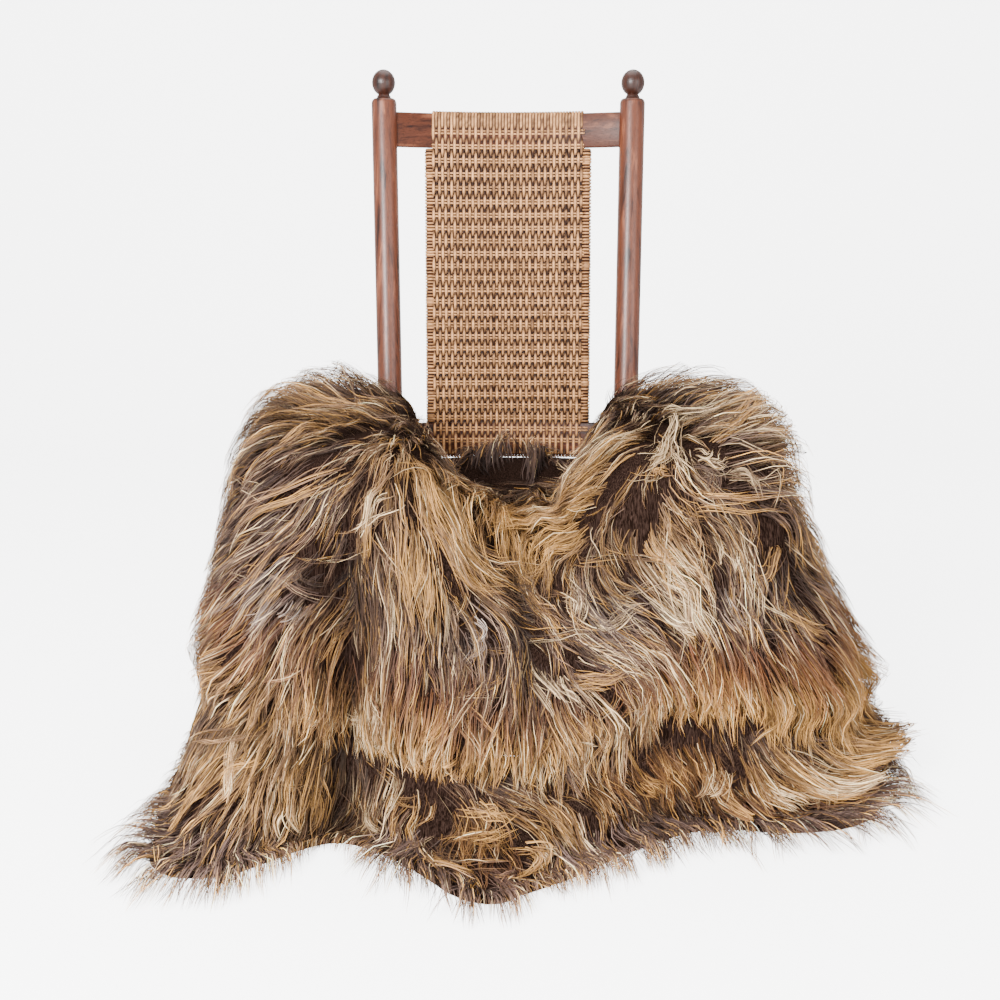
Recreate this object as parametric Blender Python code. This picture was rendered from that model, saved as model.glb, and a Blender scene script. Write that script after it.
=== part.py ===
"""Long-wool sheepskin rug draped over a plain wooden chair with arms.

Metres, +Z up, front of the chair towards -Y. The rug is an upper tier of pelts that lies over the
seat and both arms and hangs down on three sides, and a lower tier sewn under it that reaches the
floor and lies spread on it. Each tier is a closed slab: its inner face is the hide, its outer face
is the top of the wool. Strips with single wool locks stand at the rug's rim and under the upper
tier's edge.
"""

import math

import bmesh
import bpy
import numpy as np
from mathutils import Matrix, Vector

# The middle of the chair on the floor, seen from the middle of the whole outline.
CHAIR_X = -0.032
CHAIR_Y = 0.138
GAP = 0.0003  # between pieces that touch

# Chair frame
POST_R = 0.0227
POST_SIDES = 16
BACK_FOOT = (0.214, 0.170)  # x and y of a back post at the floor
BACK_TOP = (0.227, 0.320, 1.150)  # the top of its ball
FRONT_POST = (0.285, -0.200)
TENON = 0.016  # how deep a rail or rung goes into a post
RAIL_R = 0.014
RUNG_R = 0.011
SEAT_TOP = 0.395
SEAT_THICK = 0.0197
ARM_TOP = 0.558
ARM_THICK = 0.024
ARM_EDGE = 0.006  # how far its edges are rounded off
ARM_OUTER = 0.330
ARM_FRONT = -0.260
ARM_BACK = 0.262
LEAN = math.atan2(BACK_TOP[1] - BACK_FOOT[1], BACK_TOP[2])

# The back: two bowed slats, a woven cane panel round both, and its bound edges
SLAT_TALL = 0.062
SLAT_THICK = 0.012
SLAT_BOW = 0.030  # how far the middle stands back
TOP_SLAT = 1.054  # the slats' middles, along the leaning back
LOW_SLAT = 0.486
CANE_HALF = 0.139
CANE_THICK = 0.020
CANE_OVER = 0.0042  # how far the weave stands above the slat it wraps
BINDING_R = 0.0072

# Hide and wool
PILE = 0.050  # how far the top of the wool stands off the hide
PILE_START = 0.026  # at the rug's back edge on the seat
PILE_LIP = 0.062  # at the upper tier's lower edge
PILE_SEAM = 0.003  # at the lower tier's top, which is bare hide
PILE_TUCKED = 0.026  # in the upper tier's shade
PILE_HEM = 0.018  # at the outer rim
SEAM_GAP = 0.0010  # between the tiers
HIDE_ON_SEAT = SEAT_TOP + 0.0045
HIDE_ON_ARM = ARM_TOP + 0.0007
VALLEY_BACK = 0.150  # half the width of the rug's flat ground on the seat, at the back
VALLEY_FRONT = 0.015  # and where it falls over the seat's front edge
VALLEY_SIDE = 0.030  # how far to the right its middle lies there
SAG = 0.100  # how far its middle sags there
ARM_FOOT = 0.214  # the hide is up at arm height from here outwards
BACK_RISE = 0.040  # how far the rug's back edge turns up against the chair's back
BACK_EDGE = 0.185  # where it lies on the seat

# One row for each place round the rug, from the left rear to the right rear, in the chair's own
# frame. start: x of the line's start at the rug's back edge; edge: where the rug turns down; hem:
# its end on the floor; hang and foot: the share of the way out to the hem at two fifths of the
# height, and where it meets the floor; seam: the height where the lower tier starts.
STATION_COLUMNS = (
    "name", "start", "edge_x", "edge_y", "hem_x", "hem_y", "hang", "foot", "seam",
)
STATIONS = (
    ("left_rear", -0.185, -0.362, 0.172, -0.540, 0.215, 0.54, 0.88, 0.225),
    ("left_side", -0.160, -0.364, 0.060, -0.550, 0.060, 0.54, 0.88, 0.230),
    ("left_fore", -0.137, -0.364, -0.085, -0.550, -0.140, 0.50, 0.86, 0.235),
    ("left_turn", -0.114, -0.356, -0.205, -0.540, -0.360, 0.42, 0.80, 0.235),
    ("left_tip", -0.091, -0.330, -0.280, -0.500, -0.478, 0.40, 0.80, 0.235),
    ("left_front", -0.068, -0.288, -0.316, -0.395, -0.495, 0.36, 0.82, 0.225),
    ("left_fold", -0.046, -0.225, -0.318, -0.263, -0.415, 0.22, 0.72, 0.175),
    ("mid_left", -0.026, -0.130, -0.325, -0.135, -0.480, 0.56, 0.80, 0.160),
    ("centre_left", -0.008, -0.040, -0.325, -0.030, -0.575, 0.44, 0.66, 0.150),
    ("centre_right", 0.012, 0.035, -0.318, 0.075, -0.520, 0.42, 0.70, 0.145),
    ("mid_right", 0.032, 0.115, -0.322, 0.178, -0.425, 0.56, 0.80, 0.190),
    ("right_fold", 0.052, 0.205, -0.322, 0.290, -0.365, 0.48, 0.84, 0.225),
    ("right_front", 0.074, 0.296, -0.312, 0.435, -0.370, 0.54, 0.82, 0.205),
    ("right_turn", 0.098, 0.352, -0.246, 0.550, -0.315, 0.58, 0.86, 0.170),
    ("right_tip", 0.124, 0.362, -0.120, 0.612, -0.190, 0.62, 0.90, 0.155),
    ("right_side", 0.154, 0.364, 0.025, 0.618, -0.020, 0.62, 0.92, 0.155),
    ("right_rear", 0.185, 0.362, 0.172, 0.600, 0.190, 0.60, 0.90, 0.165),
)
# The fall from the edge to the hem: how far out the shoulder reaches, at most this and at most
# this share of the way, and the share of the edge's height at its middle, at its end and at hang.
SHOULDER = 0.055
SHOULDER_SHARE = 0.30
SHOULDER_HEIGHTS = (0.955, 0.800)
HANG_HEIGHT = 0.42

# Creases, where the wool parts: the place in STATIONS, half the width in stations, the heights
# between which it runs, and the share of the wool's height that it takes away.
CREASE_COLUMNS = ("name", "place", "width", "low", "high", "depth")
CREASES = (
    ("left_parting", 6.00, 0.48, -0.10, 0.47, 0.80),
    ("left_curl", 5.35, 0.30, 0.30, 0.40, 0.45),
    ("middle_pit", 8.85, 0.34, 0.20, 0.40, 0.80),
    ("middle_parting", 8.65, 0.24, 0.06, 0.30, 0.45),
    ("right_valley", 10.30, 0.40, 0.30, 0.47, 0.60),
    ("right_hollow", 12.70, 0.32, 0.30, 0.45, 0.45),
    ("right_parting", 13.70, 0.28, 0.05, 0.35, 0.35),
    ("train_left", 7.60, 0.30, -0.10, 0.12, 0.40),
    ("train_right", 10.60, 0.30, -0.10, 0.14, 0.45),
)

ACROSS = 64  # cells round the rug
UPPER_ROWS = 20  # cells from the seat to the seam
LOWER_ROWS = 6  # cells from the seam to the hem

# Locks at the hem, as many as this on each cell, and under the upper tier's edge, one on each cell:
# the strip's height and width, and how far a lock reaches
HEM_LOCKS = 2
HEM_TALL = 0.011
HEM_STRIP = 0.007
HEM_REACH = 0.050
LIP_TALL = 0.008
LIP_REACH = 0.058
# Each strip: name, and the first and last cell round the rug
STRIPS = (("left", 0, 16), ("front", 16, 49), ("right", 49, 64))

COLOURS = {
    "oak": ((0.230, 0.095, 0.045, 1.0), 0.38),
    "cane": ((0.520, 0.290, 0.120, 1.0), 0.50),
    "wool": ((0.215, 0.135, 0.085, 1.0), 0.85),
    "wool_tips": ((0.430, 0.290, 0.150, 1.0), 0.80),
}


def clear_scene():
    for obj in list(bpy.data.objects):
        bpy.data.objects.remove(obj)


def make_materials():
    for name, (colour, roughness) in COLOURS.items():
        made = bpy.data.materials.new(name)
        made.use_nodes = True
        shader = made.node_tree.nodes["Principled BSDF"]
        shader.inputs["Base Color"].default_value = colour
        shader.inputs["Roughness"].default_value = roughness
        shader.inputs["Metallic"].default_value = 0.0


def make_object(name, bm, material, parent, smooth_angle=40.0):
    """The bmesh as a named object under the chair's empty, shaded smooth with sharp edges."""
    bmesh.ops.triangulate(bm, faces=list(bm.faces), quad_method="SHORT_EDGE")
    bmesh.ops.recalc_face_normals(bm, faces=list(bm.faces))
    if bm.calc_volume(signed=True) < 0:
        bmesh.ops.reverse_faces(bm, faces=list(bm.faces))
    mesh = bpy.data.meshes.new(name)
    bm.to_mesh(mesh)
    bm.free()
    mesh.materials.append(bpy.data.materials[material])
    mesh.shade_smooth()
    mesh.set_sharp_from_angle(angle=math.radians(smooth_angle))
    obj = bpy.data.objects.new(name, mesh)
    obj.parent = parent
    bpy.context.scene.collection.objects.link(obj)
    return obj


def make_cutter(name, bm, parent):
    cutter = make_object(name, bm, "oak", parent)
    cutter.hide_render = True
    cutter.display_type = "WIRE"
    return cutter


def cut(obj, cutter):
    modifier = obj.modifiers.new("sockets", "BOOLEAN")
    modifier.operation = "DIFFERENCE"
    modifier.solver = "EXACT"
    modifier.object = cutter


# Chair


def add(bm, shape):
    """Adds one bmesh to another and frees it."""
    mesh = bpy.data.meshes.new("shape")
    shape.to_mesh(mesh)
    shape.free()
    bm.from_mesh(mesh)
    bpy.data.meshes.remove(mesh)


def turned(bm, profile, start, end, sides):
    """Adds to bm a profile of (radius, height) spun about the line from start to end."""
    shape = bmesh.new()
    verts = [shape.verts.new((radius, 0.0, height)) for radius, height in profile]
    edges = [shape.edges.new(pair) for pair in zip(verts, verts[1:])]
    bmesh.ops.spin(
        shape, geom=verts + edges, cent=(0, 0, 0), axis=(0, 0, 1), dvec=(0, 0, 0),
        angle=2 * math.pi, steps=sides, use_merge=True,
    )
    bmesh.ops.remove_doubles(shape, verts=list(shape.verts), dist=1e-6)
    bmesh.ops.recalc_face_normals(shape, faces=list(shape.faces))
    turn = (Vector(end) - Vector(start)).to_track_quat("Z", "Y").to_matrix().to_4x4()
    bmesh.ops.transform(shape, matrix=Matrix.Translation(start) @ turn, verts=list(shape.verts))
    add(bm, shape)


def rod(bm, start, end, radius, sides=12):
    length = (Vector(end) - Vector(start)).length
    turned(bm, [(0, 0), (radius, 0), (radius, length), (0, length)], start, end, sides)


def on_back_post(side, height):
    share = height / BACK_TOP[2]
    x = BACK_FOOT[0] + (BACK_TOP[0] - BACK_FOOT[0]) * share
    return Vector((side * x, BACK_FOOT[1] + (BACK_TOP[1] - BACK_FOOT[1]) * share, height))


def on_front_post(side, height):
    return Vector((side * FRONT_POST[0], FRONT_POST[1], height))


def back_post_profile(length):
    """From just under the floor, up the round shaft, over its shoulder and neck to the ball."""
    ball_r = 0.0212
    neck = length - 0.0520
    ball = [(0.0, length)]
    for step in range(1, 8):
        angle = math.pi * step / 8.6
        ball.append((ball_r * math.sin(angle), length - 0.0235 * (1 - math.cos(angle))))
    shaft = [
        (0.0, -0.02), (0.0195, -0.02), (0.0205, 0.02), (POST_R, 0.10), (POST_R, neck - 0.006),
        (0.0205, neck - 0.0015), (0.0150, neck), (0.0125, neck + 0.003),
    ]
    return shaft + ball[::-1]


def flat_foot(bm):
    """Cuts what lies under the floor, so that a leaning post stands flat."""
    geom = list(bm.verts) + list(bm.edges) + list(bm.faces)
    sliced = bmesh.ops.bisect_plane(
        bm, geom=geom, plane_co=(0, 0, 0), plane_no=(0, 0, 1), clear_inner=True
    )
    rim = [e for e in sliced["geom_cut"] if isinstance(e, bmesh.types.BMEdge)]
    bmesh.ops.edgeloop_fill(bm, edges=rim)


# Rungs and seat rails: name, the posts at both ends, the height, and the radius
RODS = (
    ("seat_rail_front", ("front", -1), ("front", 1), 0.361, RAIL_R),
    ("seat_rail_back", ("back", -1), ("back", 1), 0.361, RAIL_R),
    ("seat_rail_left", ("front", -1), ("back", -1), 0.329, RAIL_R),
    ("seat_rail_right", ("front", 1), ("back", 1), 0.329, RAIL_R),
    ("rung_front", ("front", -1), ("front", 1), 0.200, RUNG_R),
    ("rung_back", ("back", -1), ("back", 1), 0.200, RUNG_R),
    ("rung_left", ("front", -1), ("back", -1), 0.160, RUNG_R),
    ("rung_right", ("front", 1), ("back", 1), 0.160, RUNG_R),
)


def rod_ends(first, last, height, deeper=0.0):
    """Both ends of a rod, each a tenon's depth inside its post."""
    places = {"front": on_front_post, "back": on_back_post}
    a = places[first[0]](first[1], height)
    b = places[last[0]](last[1], height)
    along = (b - a).normalized() * (POST_R - TENON - deeper)
    return a + along, b - along


def back_frame():
    """The leaning frame in which the slats and the cane stand upright."""
    return Matrix.Translation((0, BACK_FOOT[1], 0)) @ Matrix.Rotation(-LEAN, 4, "X")


def bowed_block(bm, half, low, high, thick, cells=12):
    """Adds to bm a board from -half to half, bowed backwards, that stands in the leaning frame."""
    shape = bmesh.new()
    bmesh.ops.create_grid(shape, x_segments=cells, y_segments=1, size=0.5)
    made = bmesh.ops.extrude_face_region(shape, geom=list(shape.faces))
    back = [v for v in made["geom"] if isinstance(v, bmesh.types.BMVert)]
    bmesh.ops.translate(shape, vec=(0, 0, 1), verts=back)
    for vert in shape.verts:
        x = 2 * half * vert.co.x
        bow = SLAT_BOW * (1 - (x / BACK_TOP[0]) ** 2)
        height = (low + high) / 2 + (high - low) * vert.co.y
        vert.co = (x, thick * (vert.co.z - 0.5) + bow, height)
    bmesh.ops.recalc_face_normals(shape, faces=list(shape.faces))
    bmesh.ops.transform(shape, matrix=back_frame(), verts=list(shape.verts))
    add(bm, shape)


def slat_half(middle):
    return on_back_post(1, middle).x - POST_R + TENON


def slat(bm, middle, grow=0.0):
    half, tall = slat_half(middle) + grow, SLAT_TALL / 2 + grow
    bowed_block(bm, half, middle - tall, middle + tall, SLAT_THICK + 2 * grow)


def build_posts(parent):
    for side, word in ((-1, "left"), (1, "right")):
        sockets = bmesh.new()
        for _, first, last, height, radius in RODS:
            rod(sockets, *rod_ends(first, last, height, GAP), radius + GAP)
        for middle in (TOP_SLAT, LOW_SLAT):
            slat(sockets, middle, GAP)
        cutter = make_cutter("sockets_" + word, sockets, parent)

        bm = bmesh.new()
        foot, top = on_back_post(side, 0.0), Vector((side * BACK_TOP[0], *BACK_TOP[1:]))
        turned(bm, back_post_profile((top - foot).length), foot, top, POST_SIDES)
        flat_foot(bm)
        cut(make_object("back_post_" + word, bm, "oak", parent), cutter)

        bm = bmesh.new()
        height = ARM_TOP - ARM_THICK - GAP
        profile = [
            (0, 0), (0.0195, 0), (0.0205, 0.02), (POST_R, 0.10), (POST_R, height), (0, height),
        ]
        turned(bm, profile, on_front_post(side, 0), on_front_post(side, height), POST_SIDES)
        cut(make_object("front_post_" + word, bm, "oak", parent), cutter)


def build_rods(parent):
    for name, first, last, height, radius in RODS:
        bm = bmesh.new()
        rod(bm, *rod_ends(first, last, height), radius)
        make_object(name, bm, "oak", parent)


def extruded_outline(bm, outline, low, high):
    """A flat plate with that outline, from low to high."""
    face = bm.faces.new([bm.verts.new((x, y, low)) for x, y in outline])
    made = bmesh.ops.extrude_face_region(bm, geom=[face])
    top = [v for v in made["geom"] if isinstance(v, bmesh.types.BMVert)]
    bmesh.ops.translate(bm, vec=(0, 0, high - low), verts=top)


def build_seat(parent):
    back_x = on_back_post(1, SEAT_TOP).x - POST_R - 0.003
    front_x = FRONT_POST[0] - POST_R - 0.004
    back_y, front_y = 0.222, -0.207
    outline = [(-back_x, back_y), (-front_x, front_y), (front_x, front_y), (back_x, back_y)]
    bm = bmesh.new()
    extruded_outline(bm, outline, SEAT_TOP - SEAT_THICK, SEAT_TOP)
    make_object("seat_panel", bm, "cane", parent)


def build_arms(parent):
    inner = on_back_post(1, ARM_TOP).x + POST_R + GAP
    corner = (ARM_OUTER - inner) / 2
    for side, word in ((-1, "left"), (1, "right")):
        outline = [(side * inner, ARM_BACK), (side * ARM_OUTER, ARM_BACK)]
        for step in range(9):
            angle = math.pi * step / 8
            x = inner + corner + corner * math.cos(angle)
            outline.append((side * x, ARM_FRONT + corner - corner * math.sin(angle)))
        bm = bmesh.new()
        extruded_outline(bm, outline, ARM_TOP - ARM_THICK, ARM_TOP)
        rims = [e for e in bm.edges if abs(e.verts[0].co.z - e.verts[1].co.z) < 1e-6]
        bmesh.ops.bevel(bm, geom=rims, offset=ARM_EDGE, segments=2, profile=0.5, affect="EDGES")
        make_object("arm_" + word, bm, "oak", parent)


def build_back(parent):
    for name, middle in (("top_slat", TOP_SLAT), ("low_slat", LOW_SLAT)):
        bm = bmesh.new()
        slat(bm, middle)
        make_object(name, bm, "oak", parent)

    slots = bmesh.new()
    for middle in (TOP_SLAT, LOW_SLAT):
        slat(slots, middle, GAP)
    cutter = make_cutter("slots", slots, parent)
    bm = bmesh.new()
    reach = SLAT_TALL / 2 + CANE_OVER
    bowed_block(bm, CANE_HALF, LOW_SLAT - reach, TOP_SLAT + reach, CANE_THICK)
    cut(make_object("cane_panel", bm, "cane", parent), cutter)

    x = CANE_HALF + GAP + BINDING_R
    y = SLAT_BOW * (1 - (x / BACK_TOP[0]) ** 2)
    low, high = LOW_SLAT + SLAT_TALL / 2 + GAP, TOP_SLAT - SLAT_TALL / 2 - GAP
    for side, word in ((-1, "left"), (1, "right")):
        bm = bmesh.new()
        ends = [back_frame() @ Vector((side * x, y, height)) for height in (low, high)]
        rod(bm, *ends, BINDING_R)
        make_object("cane_binding_" + word, bm, "cane", parent)


# Rug


def smooth_step(x):
    x = np.clip(x, 0.0, 1.0)
    return x * x * (3 - 2 * x)


def catmull(values, at):
    """Rows of values read at fractional row numbers, on a smooth curve through the rows."""
    values = np.asarray(values, float)
    last = len(values) - 1
    at = np.clip(at, 0.0, last)
    i = np.minimum(at.astype(int), last - 1)
    f = (at - i)[:, None]
    p0, p1 = values[np.maximum(i - 1, 0)], values[i]
    p2, p3 = values[i + 1], values[np.minimum(i + 2, last)]
    return 0.5 * (
        2 * p1 + (p2 - p0) * f + (2 * p0 - 5 * p1 + 4 * p2 - p3) * f**2
        + (3 * p1 - p0 - 3 * p2 + p3) * f**3
    )


def stations(across):
    """Each column of STATIONS as an array of across + 1 values round the rug."""
    table = catmull([row[1:] for row in STATIONS], np.linspace(0, len(STATIONS) - 1, across + 1))
    return dict(zip(STATION_COLUMNS[1:], table.T))


def hide_height(x, y):
    """The hide over the chair: the seat, a valley that narrows to the front, and the arms."""
    share = smooth_step((0.19 - y) / 0.46)
    half = VALLEY_BACK + (VALLEY_FRONT - VALLEY_BACK) * share
    middle = VALLEY_SIDE * share
    foot = ARM_FOOT - middle * np.sign(x - middle)
    up = smooth_step((np.abs(x - middle) - half) / (foot - half))
    back = BACK_RISE * smooth_step((y - 0.11) / 0.08) * (1 - up)
    sag = SAG * smooth_step((-0.232 - y) / 0.10) * (1 - up)
    return HIDE_ON_SEAT + back - sag + (HIDE_ON_ARM - HIDE_ON_SEAT) * up


def line_of(row):
    """The hide's line from the back edge to the hem, and which of its points is on the seam."""
    start, edge = np.array([row["start"], BACK_EDGE]), np.array([row["edge_x"], row["edge_y"]])
    out = np.array([row["hem_x"], row["hem_y"]]) - edge
    plan = start + (edge - start) * np.linspace(0, 1, 80)[:, None]
    top = np.column_stack([plan, hide_height(plan[:, 0], plan[:, 1])])
    shoulder = min(SHOULDER / np.linalg.norm(out), SHOULDER_SHARE)
    steps = np.array((
        (0.0, 1.0), (shoulder / 2, SHOULDER_HEIGHTS[0]), (shoulder, SHOULDER_HEIGHTS[1]),
        (row["hang"], HANG_HEIGHT), (row["foot"], 0.0), (1.0, 0.0),
    ))
    fall = catmull(steps, np.linspace(0, len(steps) - 1, 120))
    fall[:, 1] = np.maximum(fall[:, 1], 0.0)
    drop = np.column_stack([edge + out * fall[:, :1], top[-1, 2] * fall[:, 1]])
    line = np.concatenate([top, drop[1:]])
    for _ in range(24):  # rounds the corners
        line[1:-1] = (line[:-2] + 2 * line[1:-1] + line[2:]) / 4
    line[:, 2] = np.maximum(line[:, 2], 0.0)
    seam = len(top) + int(np.argmax(line[len(top):, 2] < row["seam"]))
    return line, seam


def resampled(line, rows):
    along = np.concatenate([[0], np.cumsum(np.linalg.norm(np.diff(line, axis=0), axis=1))])
    at = np.linspace(0, along[-1], rows + 1)
    return np.stack([np.interp(at, along, line[:, k]) for k in range(3)], axis=1)


def hide_grid(across, upper_rows, lower_rows):
    """Points of the hide as two grids, [place round the rug, place down it], one for each tier."""
    columns = stations(across)
    upper, lower = [], []
    for i in range(across + 1):
        line, seam = line_of({key: value[i] for key, value in columns.items()})
        upper.append(resampled(line[: seam + 1], upper_rows))
        lower.append(resampled(line[seam:], lower_rows))
    return np.array(upper), np.array(lower)


def outward(grid, passes=8):
    """The directions in which the wool stands off the hide, smoothed so that folds don't cross."""
    normal = np.cross(np.gradient(grid, axis=1), np.gradient(grid, axis=0))
    normal /= np.linalg.norm(normal, axis=2, keepdims=True)
    for _ in range(passes):
        for axis in (0, 1):
            before = np.take(normal, np.r_[0, 0 : normal.shape[axis] - 1], axis)
            after = np.take(normal, np.r_[1 : normal.shape[axis], normal.shape[axis] - 1], axis)
            normal = before + 2 * normal + after
        normal /= np.linalg.norm(normal, axis=2, keepdims=True)
    return normal


def places(grid):
    """The place in STATIONS of each point of a grid."""
    share = np.linspace(0, len(STATIONS) - 1, grid.shape[0])
    return share[:, None] * np.ones(grid.shape[:2])


def lumps(grid, amplitude=0.0065):
    """Uneven wool: long soft ridges that run down the rug, broken up by wider swellings."""
    u, z = places(grid) / (len(STATIONS) - 1), grid[..., 2]
    ridge = np.sin(2 * math.pi * (15 * u + 0.35 * np.sin(2 * math.pi * z / 0.37)))
    swell = np.sin(2 * math.pi * (7.3 * u - z / 0.29) + 1.1)
    swell += np.sin(2 * math.pi * (11.7 * u + z / 0.17))
    return amplitude * (ridge + 0.6 * swell)


def creases(grid, hanging):
    """The share of the wool's height that is left in the creases, which are where it hangs."""
    u, z = places(grid), grid[..., 2]
    left = np.ones(grid.shape[:2])
    for values in CREASES:
        row = dict(zip(CREASE_COLUMNS, values))
        across = np.exp(-(((u - row["place"]) / row["width"]) ** 2))
        along = smooth_step((z - row["low"]) / 0.06) * smooth_step((row["high"] - z) / 0.06)
        left *= 1 - row["depth"] * across * along * hanging
    return left


def slab(name, hide, top, parent):
    """A closed slab between the hide grid and the grid at the top of the wool.

    The wall at its lower end is halved along its length, so that a strip fits under one half.
    """
    cells_u, cells_v = hide.shape[0] - 1, hide.shape[1] - 1
    bm = bmesh.new()
    bmesh.ops.create_grid(bm, x_segments=cells_u, y_segments=cells_v, size=0.5)
    made = bmesh.ops.extrude_face_region(bm, geom=list(bm.faces))
    raised = {v for v in made["geom"] if isinstance(v, bmesh.types.BMVert)}
    end_row = {v for v in bm.verts if v.co.y > 0.499}
    for vert in bm.verts:
        i = round((vert.co.x + 0.5) * cells_u)
        j = round((vert.co.y + 0.5) * cells_v)
        vert.co = top[i, j] if vert in raised else hide[i, j]
    wall = [
        e for e in bm.edges
        if end_row.issuperset(e.verts) and sum(v in raised for v in e.verts) == 1
    ]
    bmesh.ops.subdivide_edges(bm, edges=wall, cuts=1, use_grid_fill=True)
    return make_object(name, bm, "wool", parent, 60.0)


def finer(rows, times):
    """Points added between those of a line, so that each cell becomes several."""
    at = np.linspace(0, len(rows) - 1, times * (len(rows) - 1) + 1)
    index = np.arange(len(rows))
    return np.stack([np.interp(at, index, rows[:, k]) for k in range(3)], axis=1)


def lock_strip(name, inner, outer, root_in, root_out, tips, parent):
    """A bar along four lines of points with a four-sided lock on each cell of its root side.

    The root side lies between root_in and root_out. tips has the lock's end for each cell, as
    a middle and two half axes.
    """
    bm = bmesh.new()
    lines = [line.copy() for line in (inner, outer, root_out, root_in)]
    for line in lines:  # a gap to the next strip
        for end, beside in ((0, 1), (-1, -2)):
            along = line[beside] - line[end]
            line[end] += along / np.linalg.norm(along) * GAP
    rings = [[bm.verts.new(line[k]) for line in lines] for k in range(len(inner))]
    for a, b in zip(rings, rings[1:]):
        for side in (0, 1, 3):
            bm.faces.new((a[side], a[(side + 1) % 4], b[(side + 1) % 4], b[side]))
    bm.faces.new(rings[0])
    bm.faces.new(rings[-1][::-1])
    for a, b, (middle, along, thick) in zip(rings, rings[1:], tips):
        root = [a[2], b[2], b[3], a[3]]
        corners = (-along + thick, along + thick, along - thick, -along - thick)
        tip = [bm.verts.new(middle + corner) for corner in corners]
        for side in range(4):
            after = (side + 1) % 4
            bm.faces.new((root[side], root[after], tip[after], tip[side]))
        bm.faces.new(tip)
    make_object(name, bm, "wool_tips", parent, 30.0)


def varied(count, start, low, high):
    """Uneven numbers between low and high, the same each time."""
    wave = np.sin(12.9898 * (np.arange(count) + 1) + 4.1414 * start) * 437.585
    return low + (high - low) * (wave - np.floor(wave))


def plan_outward(line):
    """The level directions that point away from the rug along its hem."""
    along = np.gradient(line, axis=0)
    out = np.column_stack([along[:, 1], -along[:, 0], np.zeros(len(line))])
    return out / np.linalg.norm(out, axis=1, keepdims=True)


def hem_strip(name, hem, first, last, parent):
    """Locks that lie on the floor round the rug's hem."""
    line = finer(hem, HEM_LOCKS)[first * HEM_LOCKS : last * HEM_LOCKS + 1]
    out = finer(plan_outward(hem), HEM_LOCKS)[first * HEM_LOCKS : last * HEM_LOCKS + 1]
    up = np.array([0.0, 0.0, 1.0])
    inside, outside = line + out * (GAP + 0.0002), line + out * HEM_STRIP
    count = len(line) - 1
    spread = np.linalg.norm(np.diff(outside + out * HEM_REACH, axis=0), axis=1)
    spread /= np.linalg.norm(np.diff(outside, axis=0), axis=1)
    reach = varied(count, first, 0.62 * HEM_REACH, HEM_REACH) * np.clip(spread, 0.15, 1.0)
    sway = 0.22 * reach * np.sin(0.55 * (first * HEM_LOCKS + np.arange(count)))
    tips = []
    for k in range(count):
        along = (outside[k + 1] - outside[k]) / np.linalg.norm(outside[k + 1] - outside[k])
        root = (outside[k] + outside[k + 1]) / 2
        heading = (out[k] + out[k + 1]) / 2
        middle = root + heading * reach[k] + along * sway[k] + up * 0.002
        tips.append((middle, along * 0.002, up * 0.002))
    lock_strip(name, inside, inside + up * HEM_TALL, outside, outside + up * HEM_TALL, tips, parent)


def lip_strip(name, wall_mid, wall_out, ends, first, last, parent):
    """Locks that hang from the upper tier's lower edge in front of the lower tier."""
    part = slice(first, last + 1)
    mid, out, end = wall_mid[part], wall_out[part], ends[part]
    gap = np.array([0.0, 0.0, -2 * GAP])
    down = np.array([0.0, 0.0, -LIP_TALL])
    count = len(mid) - 1
    reach = varied(count, first + 9, 0.55, 1.0)
    tips = []
    for k in range(count):
        root = (mid[k] + mid[k + 1] + out[k] + out[k + 1]) / 4 + down
        goal = (end[k] + end[k + 1]) / 2
        along = (out[k + 1] - out[k]) / np.linalg.norm(out[k + 1] - out[k])
        thick = (out[k] - mid[k]) / np.linalg.norm(out[k] - mid[k])
        tips.append((root + (goal - root) * reach[k], along * 0.003, thick * 0.002))
    inset = 0.2 * (out - mid)
    lock_strip(name, mid + gap, out + gap, mid + down + inset, out + down - inset, tips, parent)


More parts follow.
